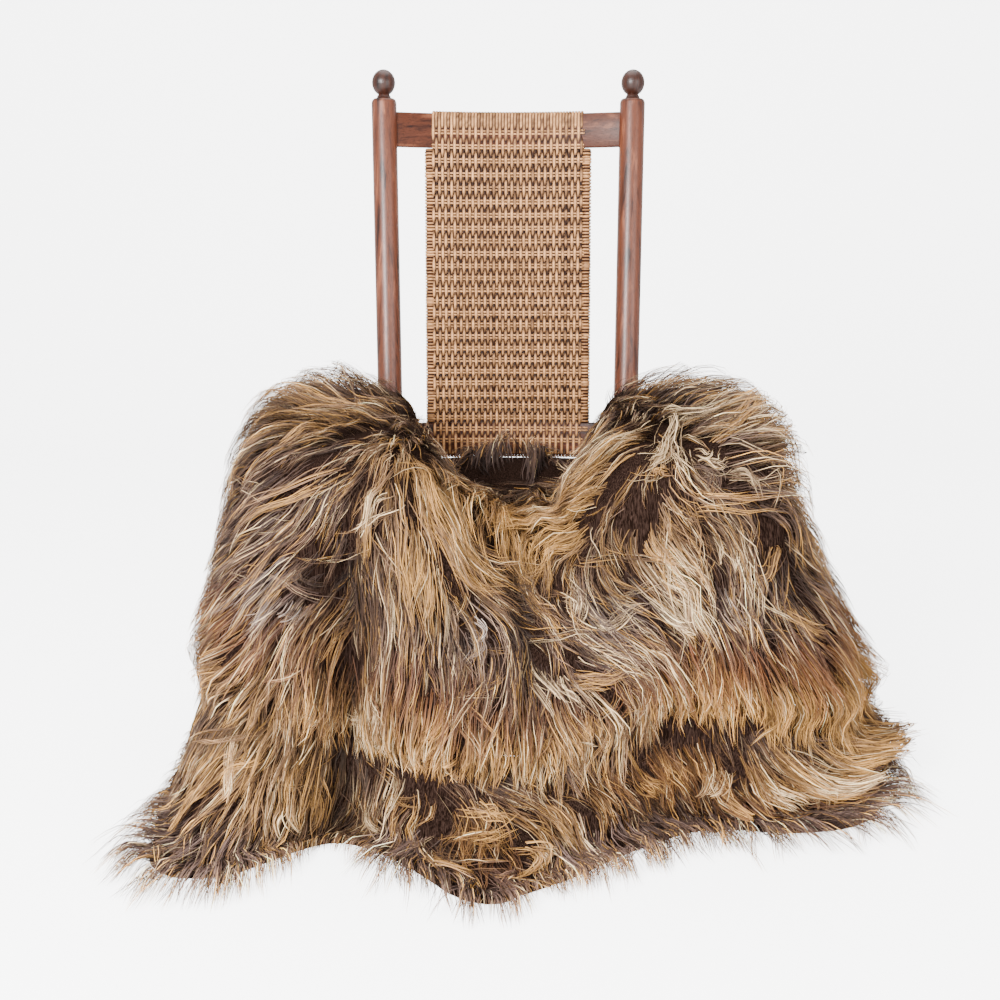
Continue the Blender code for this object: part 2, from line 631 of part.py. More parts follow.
def build_rug(parent):
    upper, lower = hide_grid(ACROSS, UPPER_ROWS, LOWER_ROWS)
    whole = np.concatenate([upper, lower[:, 1:]], axis=1)
    normal = outward(whole)
    normal_up, normal_low = normal[:, : UPPER_ROWS + 1], normal[:, UPPER_ROWS:]
    round_rim = np.minimum(np.arange(ACROSS + 1), ACROSS - np.arange(ACROSS + 1))[:, None]
    side_rim = 0.5 + 0.5 * smooth_step((round_rim + 1.0) / 3.0)

    down = np.linspace(0, 1, UPPER_ROWS + 1)[None, :]
    pile = PILE_START + (PILE - PILE_START) * smooth_step((down + 0.03) / 0.12)
    pile = pile + (PILE_LIP - PILE) * smooth_step((down - 0.8) / 0.2)
    pile = (pile + lumps(upper) * smooth_step((down - 0.12) / 0.30)) * side_rim
    left = creases(upper, smooth_step((down - 0.36) / 0.12))
    left[:, -1] = np.maximum(left[:, -1], 0.45)
    pile = pile * left
    top = upper + normal_up * pile[..., None]
    slab("upper_tier", upper, top, parent)

    down = np.linspace(0, 1, LOWER_ROWS + 1)[None, :]
    tucked = PILE_SEAM + (PILE_TUCKED - PILE_SEAM) * smooth_step(down / 0.15)
    pile_low = tucked + (PILE - PILE_TUCKED) * smooth_step((down - 0.25) / 0.35)
    pile_low = pile_low + (PILE_HEM - PILE) * smooth_step((down - 0.72) / 0.28)
    pile_low = pile_low + lumps(lower) * smooth_step((down - 0.25) / 0.35)
    pile_low = np.maximum(pile_low * side_rim * creases(lower, 1.0), PILE_SEAM)
    hide = lower.copy()
    hide[:, 0, 2] -= SEAM_GAP
    top_low = hide + normal_low * pile_low[..., None]
    top_low[:, -1] = hide[:, -1] - 0.004 * plan_outward(hide[:, -1]) + [0, 0, PILE_HEM]
    top_low[..., 2] = np.maximum(top_low[..., 2], 0.75 * PILE_HEM)
    slab("lower_tier", hide, top_low, parent)

    wall_mid = (upper[:, -1] + top[:, -1]) / 2
    step = LIP_REACH / np.linalg.norm(lower[:, 1] - lower[:, 0], axis=1)
    ends = np.array([
        catmull(top_low[i], np.array([step[i]]))[0] for i in range(ACROSS + 1)
    ]) + normal_low[:, 1] * 0.007
    for word, first, last in STRIPS:
        lip_strip("lip_locks_" + word, wall_mid, top[:, -1], ends, first, last, parent)
        hem_strip("hem_locks_" + word, hide[:, -1], first, last, parent)


def main():
    clear_scene()
    make_materials()
    chair = bpy.data.objects.new("chair_middle", None)
    chair.location = (CHAIR_X, CHAIR_Y, 0.0)
    bpy.context.scene.collection.objects.link(chair)
    build_posts(chair)
    build_rods(chair)
    build_seat(chair)
    build_arms(chair)
    build_back(chair)
    build_rug(chair)


main()
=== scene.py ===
"""Looks of a long-wool sheepskin rug that is draped over a wooden chair with arms.

Metres, +Z up, front of the chair towards -Y. The rug's hide, its dense underwool and its long
strands of wool follow the same form as the solids: a hide that lies over the seat and the arms and
falls to the floor, and the top of the wool that stands off it. Strands are combed over that form
and coloured from root to tip. The chair has turned posts, bowed slats and a woven cane back.
"""

import math

import bmesh
import bpy
import numpy as np
from bpy.props import FloatProperty, FloatVectorProperty, IntProperty, PointerProperty
from mathutils import Matrix, Vector


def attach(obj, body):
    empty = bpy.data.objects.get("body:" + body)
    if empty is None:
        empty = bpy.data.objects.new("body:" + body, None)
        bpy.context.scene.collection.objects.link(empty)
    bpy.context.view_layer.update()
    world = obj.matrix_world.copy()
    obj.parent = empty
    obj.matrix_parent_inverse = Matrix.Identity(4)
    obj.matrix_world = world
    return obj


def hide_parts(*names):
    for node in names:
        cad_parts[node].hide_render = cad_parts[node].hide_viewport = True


bl_info = {
    "name": "Sheepskin rug on a chair",
    "version": (1, 0, 0),
    "blender": (4, 5, 0),
    "location": "3D View > Sidebar > Rug",
    "description": "Long wool, hide, wood and cane of a sheepskin rug draped over a chair",
    "category": "Object",
}

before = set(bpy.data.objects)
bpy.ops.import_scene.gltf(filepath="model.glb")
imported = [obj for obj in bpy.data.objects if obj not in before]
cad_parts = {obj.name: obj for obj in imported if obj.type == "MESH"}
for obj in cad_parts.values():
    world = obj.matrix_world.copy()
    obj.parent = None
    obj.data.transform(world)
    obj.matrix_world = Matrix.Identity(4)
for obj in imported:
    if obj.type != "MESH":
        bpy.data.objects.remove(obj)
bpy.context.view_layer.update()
BODY = "root"

# The chair's middle on the floor
CHAIR = np.array([-0.032, 0.138, 0.0])

# Chair frame, as in the solids
POST_R = 0.0227
BACK_FOOT = (0.214, 0.170)
BACK_TOP = (0.227, 0.320, 1.150)
FRONT_POST = (0.285, -0.200)
TENON = 0.016
RAIL_R = 0.014
RUNG_R = 0.011
SEAT_TOP = 0.395
ARM_TOP = 0.558
ARM_THICK = 0.024
ARM_EDGE = 0.006
ARM_OUTER = 0.330
ARM_FRONT = -0.260
ARM_BACK = 0.262
LEAN = math.atan2(BACK_TOP[1] - BACK_FOOT[1], BACK_TOP[2])
GAP = 0.0003  # air between pieces that would only touch

# The back: slats, woven panel and its bound edges
SLAT_TALL = 0.062
SLAT_THICK = 0.012
SLAT_BOW = 0.030
SLAT_EDGE = 0.0022
TOP_SLAT = 1.054
LOW_SLAT = 0.486
CANE_HALF = 0.139
CANE_THICK = 0.020
CANE_OVER = 0.0042

# Back posts: the neck under the ball, and the ball
POST_HEAD = 0.0520  # from the neck to the top
BALL_R = 0.0212
BALL_HALF = 0.0235  # half the ball's height
BALL_STEPS, BALL_ROUND = 15, 16.6  # steps down the ball, of so many for a whole one
POST_FOOT = ((0.0205, 0.02), (0.0219, 0.06), (POST_R, 0.10))  # radius and height
FOOT_R = 0.0195

# The weave: flat canes that stand upright, and pairs of thin ones that cross them
UPRIGHTS = 50
UPRIGHT_WIDE = 0.0053
UPRIGHT_SWAY = 0.0016
ROW_PITCHES = (0.0262, 0.0216)  # at the top, and further down
ROWS_WIDENED = 13  # how many rows it takes to get from the one pitch to the other
PAIR_APART = 0.0052
THIN_WIDE = 0.0034
THIN_SWAY = 0.0015
CANE_CROWN = 0.0009
PLAIN_TOP = 0.038  # under the top edge no cane crosses the uprights
PLAIN_OVER = 0.35  # how far the uprights stand out there, as a share of their sway
WEAVE_BEGINS, WEAVE_RUN = 0.012, 0.010  # where they begin to sway, over the first pair
UPRIGHT_LEAST, UPRIGHT_OVER = 0.80, 0.20  # share of their width, and more where they are on top
CROWNED = (-0.5, 0.0, 0.5)  # points across a cane
END_REACH, END_LIFT = (0.5, 1.2, 1.75), (1.0, 1.0, 0.3)  # how thin canes end round the wound edge
END_CLEAR, END_UNDER, END_PLAIN = 0.0010, 0.4, 0.1
# painted shade on the thin canes' ends where they go round the wound edges
END_DIVE = (0.1, 0.1, 0.3)
WOUND_R = 0.0085
WOUND_IN = 0.0030  # how far the wound edges go in between the front's and the back's canes
WOUND_PITCH = 0.0060
WOUND_DEEP = 0.0024
CANE_DEEP = CANE_THICK / 2 - UPRIGHT_SWAY - CANE_CROWN  # from the panel's middle to its canes

# Stain of the cane and its painted shade, 0 for its light tone and 1 for its dark one
STRIP_STAIN, SPECKLE, TURN_STAIN = (0.0, 0.50), (-0.20, 0.30), (0.1, 0.6)  # least and most
DIVE_SHADE, DIVE_POWER, GROOVE_POWER = 1.6, 1.8, 0.7  # painted shade where it goes under another, and in the wound grooves
THIN_SHADE = 0.6  # share of that painted shade which the thin canes get
EDGE_SHADE = 0.72  # painted shade: share of the light that a strip's edges lose

# Hide and wool, as in the solids
PILE = 0.050
PILE_START = 0.026
PILE_LIP = 0.062
PILE_SEAM = 0.003
PILE_TUCKED = 0.026
PILE_HEM = 0.018
SEAM_GAP = 0.0010
HIDE_ON_SEAT = SEAT_TOP + 0.0045
HIDE_ON_ARM = ARM_TOP + 0.0007
VALLEY_BACK = 0.150
VALLEY_FRONT = 0.015
VALLEY_SIDE = 0.030
VALLEY_RUN = (0.19, 0.46)  # where it begins at the back, and its length forwards
SAG = 0.100
SAG_RUN = (-0.232, 0.10)  # the same for the sag in front of the seat
ARM_FOOT = 0.214
BACK_RISE = 0.040
BACK_RUN = (0.11, 0.08)  # where the rise at the back begins, and its length backwards
BACK_EDGE = 0.185
STATION_COLUMNS = (
    "name", "start", "edge_x", "edge_y", "hem_x", "hem_y", "hang", "foot", "seam",
)
STATIONS = (
    ("left_rear", -0.185, -0.362, 0.172, -0.540, 0.215, 0.54, 0.88, 0.225),
    ("left_side", -0.160, -0.364, 0.060, -0.550, 0.060, 0.54, 0.88, 0.230),
    ("left_fore", -0.137, -0.364, -0.085, -0.550, -0.140, 0.50, 0.86, 0.235),
    ("left_turn", -0.114, -0.356, -0.205, -0.540, -0.360, 0.42, 0.80, 0.235),
    ("left_tip", -0.091, -0.330, -0.280, -0.500, -0.478, 0.40, 0.80, 0.235),
    ("left_front", -0.068, -0.288, -0.316, -0.395, -0.495, 0.36, 0.82, 0.225),
    ("left_fold", -0.046, -0.225, -0.318, -0.263, -0.415, 0.22, 0.72, 0.175),
    ("mid_left", -0.026, -0.130, -0.325, -0.135, -0.480, 0.56, 0.80, 0.160),
    ("centre_left", -0.008, -0.040, -0.325, -0.030, -0.575, 0.44, 0.66, 0.150),
    ("centre_right", 0.012, 0.035, -0.318, 0.075, -0.520, 0.42, 0.70, 0.145),
    ("mid_right", 0.032, 0.115, -0.322, 0.178, -0.425, 0.56, 0.80, 0.190),
    ("right_fold", 0.052, 0.205, -0.322, 0.290, -0.365, 0.48, 0.84, 0.225),
    ("right_front", 0.074, 0.296, -0.312, 0.435, -0.370, 0.54, 0.82, 0.205),
    ("right_turn", 0.098, 0.352, -0.246, 0.550, -0.315, 0.58, 0.86, 0.170),
    ("right_tip", 0.124, 0.362, -0.120, 0.612, -0.190, 0.62, 0.90, 0.155),
    ("right_side", 0.154, 0.364, 0.025, 0.618, -0.020, 0.62, 0.92, 0.155),
    ("right_rear", 0.185, 0.362, 0.172, 0.600, 0.190, 0.60, 0.90, 0.165),
)
SHOULDER = 0.055
SHOULDER_SHARE = 0.30
SHOULDER_HEIGHTS = (0.955, 0.800)
HANG_HEIGHT = 0.42
CREASE_COLUMNS = ("name", "place", "width", "low", "high", "depth")
CREASES = (
    ("left_parting", 6.00, 0.48, -0.10, 0.47, 0.80),
    ("left_curl", 5.35, 0.30, 0.30, 0.40, 0.45),
    ("middle_pit", 8.85, 0.34, 0.20, 0.40, 0.80),
    ("middle_parting", 8.65, 0.24, 0.06, 0.30, 0.45),
    ("right_valley", 10.30, 0.40, 0.30, 0.47, 0.60),
    ("right_hollow", 12.70, 0.32, 0.30, 0.45, 0.45),
    ("right_parting", 13.70, 0.28, 0.05, 0.35, 0.35),
    ("train_left", 7.60, 0.30, -0.10, 0.12, 0.40),
    ("train_right", 10.60, 0.30, -0.10, 0.14, 0.45),
)
CREASE_END = 0.06  # the height over which a crease runs out
ACROSS = 64
UPPER_ROWS = 20
LOWER_ROWS = 6
LAST_PLACE = len(STATIONS) - 1
TOP_POINTS, FALL_POINTS = 80, 120  # of the hide's line, before it is made even
LINE_PASSES = 24

# Where the wool's height changes: start and length, in shares of the way down a tier
PILE_RISES = (-0.03, 0.12)
LIP_RISES = (0.8, 0.2)
LUMPS_RISE = (0.12, 0.30)
CREASES_BEGIN = (0.36, 0.12)
TUCK_RISES = (0.0, 0.15)
LOWER_RISES = (0.25, 0.35)
HEM_FALLS = (0.72, 0.28)
RIM_RISES = (-1.0, 3.0)  # in columns from the rug's rear edges
RIM_PILE = 0.5  # share of the wool's height at those edges
LIP_CREASE = 0.45  # the least of the wool's height that a crease leaves at the lip
PILE_LEAST = 0.75 * PILE_HEM  # the lowest that the wool's top comes to the floor
HEM_IN = 0.004  # how far the wool's top stands in from the hem

# Uneven wool: ridges round the rug, how far and how often they sway, and wider swellings
LUMP = 0.0065
RIDGES, RIDGE_SWAY, RIDGE_LONG = 15, 0.35, 0.37
SWELLINGS = ((7.3, -0.29, 1.1), (11.7, 0.17, 0.0))  # number round, length down and phase
SWELLING_SHARE = 0.6

# How the wool is combed: place, row and turn of each spot. Rows count down the rug: 0 is its back
# edge on the seat, 20 the upper tier's lower edge, and 26 the hem. The turn is in degrees from
# straight down and a little to the front, clockwise as seen from outside.
FALL = (0.0, -0.35, -1.0)
COMB_PLACE, COMB_ROW = 0.50, 1.05  # how far round and down the rug a spot reaches
COMB_LEAST = 0.02  # how much straight down counts beside the spots
COMB_PAST_LIP = 0.3  # rows past the upper tier's edge for which it is combed
COMB_UPPER = {
    "rear_left": ((0.5, 8, 40), (0.5, 14, 10), (1.5, 11, 60), (1.6, 15, 20), (1.0, 19, 10)),
    "rear_right": ((15.5, 8, -40), (15.5, 14, -10), (14.6, 12, -50), (14.5, 16, -20), (15, 19, -10)),
    "left_crown": (
        (0.4, 5.0, 90), (1.5, 5.0, 92), (1.5, 7.0, 92), (1.4, 8.6, 86), (2.6, 6.2, 96),
        (0.4, 7.0, 84), (3.6, 7.0, 92),
    ),
    "right_crown": (
        (15.4, 5.2, -90), (14.2, 5.5, -94), (15.3, 7.0, -86), (14.2, 7.6, -90),
        (13.2, 6.4, -80), (15.0, 9.0, -70),
    ),
    "left_arm": (
        (2.5, 9.0, 110), (2.5, 11.0, 44), (2.8, 12.4, 30), (3.6, 13.9, 45), (4.5, 12.0, 40),
        (4.9, 11.4, 44), (5.9, 12.1, 50), (4.6, 13.6, 55), (4.6, 14.4, 57), (5.6, 10.4, 57),
        (4.0, 8.5, 90), (5.2, 8.0, 95),
    ),
    "left_side": (
        (4.1, 15.2, 68), (4.4, 16.1, 54), (4.9, 16.5, 33), (5.1, 16.9, 22), (3.8, 18.1, 55),
        (4.1, 19.2, 44), (5.2, 14.2, 30), (5.5, 15.5, 79), (5.5, 16.9, 46), (3.0, 17.4, 60),
    ),
    "left_front": (
        (5.8, 13.8, 21), (6.2, 13.2, 17), (6.5, 13.0, 9), (6.8, 14.9, 4), (6.2, 14.9, -4),
        (7.0, 16.2, 0), (5.7, 16.5, 30), (5.2, 18.4, 8), (5.9, 18.1, -1), (7.0, 13.9, -4),
        (6.8, 18.5, 6), (5.6, 19.6, -1),
    ),
    "left_breast": (
        (6.2, 10.8, 31), (6.8, 12.1, -31), (7.1, 12.2, -37), (7.5, 13.2, -58), (7.9, 13.8, -83),
        (7.4, 15.2, -15), (7.4, 14.6, -21), (7.8, 15.0, -50), (8.1, 13.9, -87),
    ),
    "front_left": (
        (7.5, 16.2, -7), (7.1, 16.0, 0), (6.9, 14.5, 0), (8.6, 16.8, 14), (8.0, 16.0, 34),
        (8.0, 17.5, 20), (7.8, 18.4, 10), (7.2, 18.5, 0), (7.4, 19.6, 15), (6.8, 19.8, 10),
        (8.4, 20.0, -4),
    ),
    "rear_edge": (
        (5.4, -0.4, 160), (6.6, -0.4, 172), (7.8, -0.4, 180), (9.0, -0.4, 180),
        (10.2, -0.4, 188), (11.4, -0.4, 200), (8.4, 1.2, 150), (9.8, 1.2, 200),
    ),
    "seat": (
        (8.2, 8.9, 62), (10.1, 12.0, 68), (9.1, 11.9, 12), (7.5, 12.6, 72), (9.8, 13.2, 49),
        (7.1, 11.6, 70), (10.5, 12.6, 78), (8.0, 4.0, 45), (10.0, 5.0, 50), (9.6, 10.4, 66),
    ),
    "middle": (
        (9.6, 14.6, -51), (10.1, 15.0, -41), (10.6, 14.4, -21), (10.9, 15.6, -39),
        (11.0, 17.0, -45), (10.6, 17.4, -68), (10.0, 16.2, -60), (10.2, 17.1, -60),
        (9.5, 16.0, -64), (10.4, 18.0, -52), (9.9, 17.8, -80), (9.1, 17.4, -23),
        (10.1, 19.0, -40), (9.6, 19.1, -20), (9.0, 19.2, -10), (10.8, 19.1, -31),
        (11.2, 18.4, -11), (11.1, 19.5, -7), (9.6, 20.2, -5), (10.3, 20.4, 0),
    ),
    "right_arm": (
        (14.6, 6.5, -40), (12.2, 9.1, -24), (11.5, 10.1, -1), (12.4, 11.2, -105),
        (12.4, 12.1, -89), (13.5, 11.0, -96), (13.0, 12.0, -60), (12.2, 13.0, -59),
        (12.6, 13.0, -64), (12.0, 13.1, -42), (11.8, 12.5, -51), (11.5, 13.3, -50),
        (11.4, 12.5, 40), (10.9, 12.7, 43), (13.6, 8.5, -90),
    ),
    "right_breast": (
        (11.6, 13.9, -49), (11.9, 13.8, -49), (12.4, 13.9, -67), (12.6, 13.9, -55),
        (12.0, 14.4, -78), (12.2, 15.2, 22), (12.9, 14.9, -10), (13.1, 15.5, -40),
        (11.8, 15.4, 4), (11.4, 14.2, -17), (11.0, 14.9, -47), (10.8, 14.8, -34),
        (11.1, 16.1, -35), (10.8, 15.9, -34), (11.4, 17.1, -31),
    ),
    "right_front": (
        (11.9, 16.5, -8), (12.1, 16.9, -26), (12.9, 16.2, -46), (13.2, 16.2, -50),
        (12.8, 17.2, -46), (13.2, 17.4, -28), (12.2, 18.4, -34), (12.9, 18.2, -36),
        (11.8, 18.5, -8), (11.5, 19.0, -3), (13.2, 19.1, -34), (11.2, 20.0, -10),
        (12.0, 20.2, -8), (12.8, 20.0, -5),
    ),
}
COMB_LOWER = {
    "left_foot": (
        (4.1, 21.8, 24), (3.6, 22.4, 16), (3.6, 24.2, 46), (3.5, 26.0, 48), (4.0, 26.0, 38),
        (4.5, 24.4, 24), (4.8, 25.4, 12), (4.8, 22.4, 26), (4.9, 21.4, 35), (4.9, 24.1, 17),
        (5.1, 23.5, -2), (5.5, 25.4, -17), (5.5, 22.2, 0), (5.6, 23.9, 10), (2.4, 23.0, 10),
        (1.0, 23.0, 0),
    ),
    "front_foot": (
        (6.2, 21.6, 9), (6.1, 24.4, 34), (6.1, 26.0, 69), (6.6, 23.4, 18), (6.6, 24.6, 19),
        (6.9, 23.0, 16), (6.5, 24.4, 36), (7.1, 24.5, -52), (7.5, 26.0, -22), (8.0, 25.5, -28),
        (7.4, 21.5, -63), (8.2, 22.1, -58), (7.5, 23.4, 74), (8.1, 23.9, 19), (8.5, 24.1, -14),
        (8.8, 25.5, 5), (9.1, 24.9, -32), (9.8, 25.0, 1), (10.1, 23.1, -48),
    ),
    "train": (
        (13.5, 22.8, -60), (13.5, 23.5, -72), (13.2, 23.9, -78), (12.6, 23.1, -50),
        (12.2, 23.5, -47), (12.4, 24.0, -78), (12.8, 24.1, -76), (12.8, 25.1, -76),
        (12.0, 25.0, -48), (11.8, 24.2, -39), (11.6, 24.9, -29), (11.5, 23.8, -29),
        (11.2, 23.0, 8), (10.8, 23.8, -29), (10.4, 23.5, -31), (10.4, 24.9, -32),
        (10.9, 25.0, -22), (11.9, 23.4, -39), (12.6, 25.2, -75), (14.6, 23.5, -40),
        (15.6, 23.0, -10),
    ),
}

# Spots on the rug, as place, half width, row and half height of each, with an amount

# Hollows in the wool, with how much of its height and light they take
HOLLOW_LIGHT, HOLLOW_DEEP = 0.8, 0.75  # shares of that amount
HOLLOW_INNER = 0.8  # size of the low part against the dark one
HOLLOWS_UPPER = {
    "left_hole": (5.50, 0.22, 14.8, 0.75, 0.85), "left_hole_low": (5.50, 0.20, 16.4, 0.6, 0.80),
    "left_gap": (5.90, 0.15, 21.0, 1.4, 0.80), "left_pit": (7.30, 0.24, 13.9, 0.45, 0.65),
    "left_pit_end": (7.75, 0.20, 13.8, 0.40, 0.60), "right_pit": (9.90, 0.20, 13.8, 0.45, 0.75),
    "right_pit_end": (10.15, 0.16, 13.0, 0.40, 0.65), "valley": (9.20, 0.24, 14.5, 1.0, 0.90),
    "valley_low": (8.90, 0.18, 16.2, 1.5, 0.75), "crease": (10.90, 0.50, 13.4, 0.40, 0.70),
    "crown_hollow": (11.75, 0.28, 12.5, 0.50, 0.65), "right_hole": (11.88, 0.20, 14.7, 0.45, 0.80),
    "right_hole_low": (12.15, 0.20, 15.2, 0.45, 0.80), "shade": (10.00, 0.30, 18.6, 0.9, 0.40),
    "front_shade": (5.95, 0.24, 18.0, 0.9, 0.45), "right_shade": (12.90, 0.20, 17.4, 1.0, 0.35),
}
HOLLOWS_LOWER = {
    "gap": (5.85, 0.17, 22.6, 2.8, 0.92), "lip_left": (7.40, 0.45, 21.6, 0.8, 0.80),
    "lip_left_low": (7.75, 0.25, 22.6, 0.5, 0.60), "lip_right": (10.90, 0.60, 21.6, 0.9, 0.75),
    "train_curl": (12.5, 0.35, 25.0, 0.5, 0.60), "under_tip": (9.20, 0.5, 22.3, 0.8, 0.45),
    "curl": (8.40, 0.25, 24.9, 0.6, 0.45), "train_shade": (11.7, 0.4, 22.6, 0.6, 0.45),
}

# Where the wool stands higher, with the share of its height that is added, or taken off
SWELLS_UPPER = {
    "left_crown": (1.6, 1.1, 7.2, 2.2, 0.80), "left_arm": (3.6, 1.4, 9.6, 3.0, 0.20),
    "right_crown": (14.4, 1.2, 6.2, 2.6, 0.82), "right_arm": (12.6, 1.2, 9.0, 3.0, 0.30),
    "right_shoulder": (12.9, 0.9, 12.4, 1.9, 0.58), "right_band": (13.9, 0.6, 20.2, 1.2, 0.42),
    "seat": (9.0, 1.6, 10.6, 2.2, 0.15), "rear_seat": (8.6, 3.2, 0.0, 1.6, 1.62),
    "left_outer": (2.0, 1.0, 10.6, 1.6, 0.38), "right_outer": (14.0, 1.0, 10.0, 1.8, 0.60),
}
SWELLS_LOWER = {
    "left_lip": (4.4, 1.1, 20.9, 1.5, 1.10), "right_lip": (13.9, 1.4, 21.6, 1.8, 0.45),
    "left_rear": (2.4, 1.2, 24.0, 1.4, -0.60), "right_side": (14.0, 0.8, 24.2, 1.2, 1.30),
    "left_foot": (4.2, 1.0, 25.8, 1.2, 1.00), "front_foot": (8.0, 1.8, 25.8, 1.2, 0.50),
    "train": (12.6, 1.6, 25.6, 1.4, 0.80),
}

# How far the wool goes on past the upper tier's edge and past the hem, by place
LIP_REACH = (
    (0.0, 0.050), (4.5, 0.075), (5.6, 0.060), (6.5, 0.042), (8.5, 0.050), (9.0, 0.075),
    (9.8, 0.090), (10.4, 0.062), (11.2, 0.052), (12.0, 0.075), (14.0, 0.085), (16.0, 0.060),
)
HEM_REACH = (
    (0.0, 0.020), (1.5, 0.012), (3.2, 0.015), (3.5, 0.025), (3.9, 0.092), (4.3, 0.126),
    (4.9, 0.082), (5.2, 0.026), (5.45, 0.018), (6.2, 0.030), (6.7, 0.045), (7.2, 0.098),
    (7.6, 0.106), (7.9, 0.086), (8.2, 0.062), (8.35, 0.012), (9.2, 0.052), (10.0, 0.086),
    (10.6, 0.085), (11.5, 0.060), (12.0, 0.090), (12.6, 0.142), (13.1, 0.108), (13.5, 0.055),
    (14.2, 0.025), (16.0, 0.015),
)
LIP_SPREAD = (0.20, 1.35)  # the least and the most of that reach that a lock has
HEM_SPREAD = (0.70, 1.06)

# Where the wool is tangled, with the degrees by which its locks stray
TANGLES_UPPER = {
    "middle": (10.0, 0.7, 16.8, 1.3, 24), "pits": (9.6, 0.9, 13.6, 1.0, 22),
    "right_arm": (11.6, 0.8, 12.2, 1.4, 26), "right_breast": (12.1, 0.7, 15.2, 1.2, 22),
    "right_crown": (12.8, 1.4, 9.5, 2.2, 14), "left_curl": (5.5, 0.3, 15.6, 0.6, 16),
    "front": (9.4, 0.6, 18.6, 1.0, 14), "left_front": (5.9, 0.5, 18.4, 0.8, 12),
}
TANGLES_LOWER = {
    "front_foot": (7.7, 0.8, 23.2, 1.6, 30), "under_lip": (10.9, 0.8, 22.4, 1.0, 22),
    "middle": (9.6, 1.0, 23.8, 1.4, 14), "train": (12.6, 0.6, 25.2, 0.6, 14),
    "corner": (6.4, 0.4, 25.2, 0.8, 22),
}

# Where the wool's tone differs, by the rug's tier and the tone
TONES_UPPER = {
    "gold": (
        (8.6, 1.5, 10.4, 2.2, 0.95), (9.9, 0.8, 12.4, 0.9, 0.80), (6.7, 0.5, 11.8, 1.3, 0.60),
        (3.4, 1.8, 10.5, 1.6, 0.35), (7.0, 0.7, 14.6, 1.2, 0.35), (11.2, 0.7, 11.4, 1.6, 0.60),
        (13.6, 0.7, 12.5, 2.4, 0.65), (10.9, 0.8, 15.0, 1.2, 0.40), (4.2, 1.6, 20.0, 1.0, 0.40),
        (7.0, 1.2, 20.2, 1.0, 0.70), (12.2, 1.4, 20.6, 0.9, 1.20), (13.8, 0.7, 20.0, 1.4, 1.20),
        (8.9, 0.9, 20.2, 0.8, 0.70), (5.7, 0.5, 17.4, 0.8, 0.35),
    ),
    "cream": (
        (12.2, 1.2, 9.4, 2.2, 0.60), (11.6, 0.6, 12.3, 1.0, 0.60), (10.2, 0.6, 16.5, 1.2, 0.42),
        (6.4, 0.4, 20.2, 1.0, 0.70), (9.9, 0.6, 19.8, 1.0, 0.55), (11.0, 0.5, 16.8, 1.0, 0.42),
        (12.9, 0.8, 12.4, 1.2, 0.45), (11.9, 0.6, 15.8, 0.9, 0.35), (8.9, 0.6, 21.0, 0.7, 0.50),
    ),
    "rust": (
        (3.6, 1.8, 18.4, 0.9, 0.75), (6.9, 0.9, 18.4, 1.1, 0.50), (8.4, 1.0, 19.0, 0.9, 0.50),
        (10.6, 0.9, 19.3, 0.8, 0.50), (12.2, 1.4, 18.9, 0.8, 0.80), (13.8, 0.6, 17.8, 1.4, 0.80),
        (5.7, 0.4, 19.4, 1.2, 0.35),
    ),
    "silver": ((4.9, 0.4, 17.0, 0.8, 0.38), (7.6, 0.4, 15.3, 0.7, 0.22), (10.2, 0.4, 16.4, 0.5, 0.25)),
    "ochre": (
        (9.4, 1.0, 8.0, 3.0, 0.25), (12.2, 1.3, 19.9, 0.8, 0.55), (13.9, 0.7, 19.4, 1.2, 0.70),
        (7.4, 1.2, 19.6, 0.9, 0.30),
    ),
    # painted shade at the rear of the seat, under the chair's back
    "dark": ((7.9, 1.3, 3.4, 3.0, 0.60), (10.4, 1.0, 4.5, 3.0, 0.60)),
}
TONES_LOWER = {
    "gold": (
        (4.6, 1.0, 22.6, 1.6, 0.45), (5.4, 0.5, 24.0, 1.4, 0.40), (8.9, 0.7, 23.6, 1.2, 0.50),
        (12.6, 0.9, 23.4, 0.8, 0.75), (13.5, 0.8, 22.6, 1.2, 0.60), (7.0, 0.8, 23.0, 1.4, 0.35),
    ),
    "cream": ((12.4, 0.7, 23.6, 0.6, 0.45), (6.6, 0.4, 23.2, 1.4, 0.50), (9.0, 0.4, 24.8, 0.8, 0.50)),
    "rust": ((12.2, 1.2, 24.8, 1.0, 0.40), (8.2, 0.6, 24.6, 1.2, 0.40)),
    "silver": (),
    "ochre": (
        (7.6, 0.9, 23.2, 1.4, 0.75), (10.2, 1.2, 23.0, 1.4, 0.90), (11.4, 0.8, 23.6, 1.4, 0.60),
        (6.2, 0.5, 25.6, 0.8, 0.50),
    ),
    # painted shade under the upper tier's edge and at the hem
    "dark": (
        (10.8, 1.0, 25.6, 0.8, 0.25), (7.4, 1.0, 25.4, 0.8, 0.10), (4.0, 1.2, 25.8, 0.6, 0.05),
        (11.0, 0.8, 22.0, 0.8, 0.50),
    ),
}

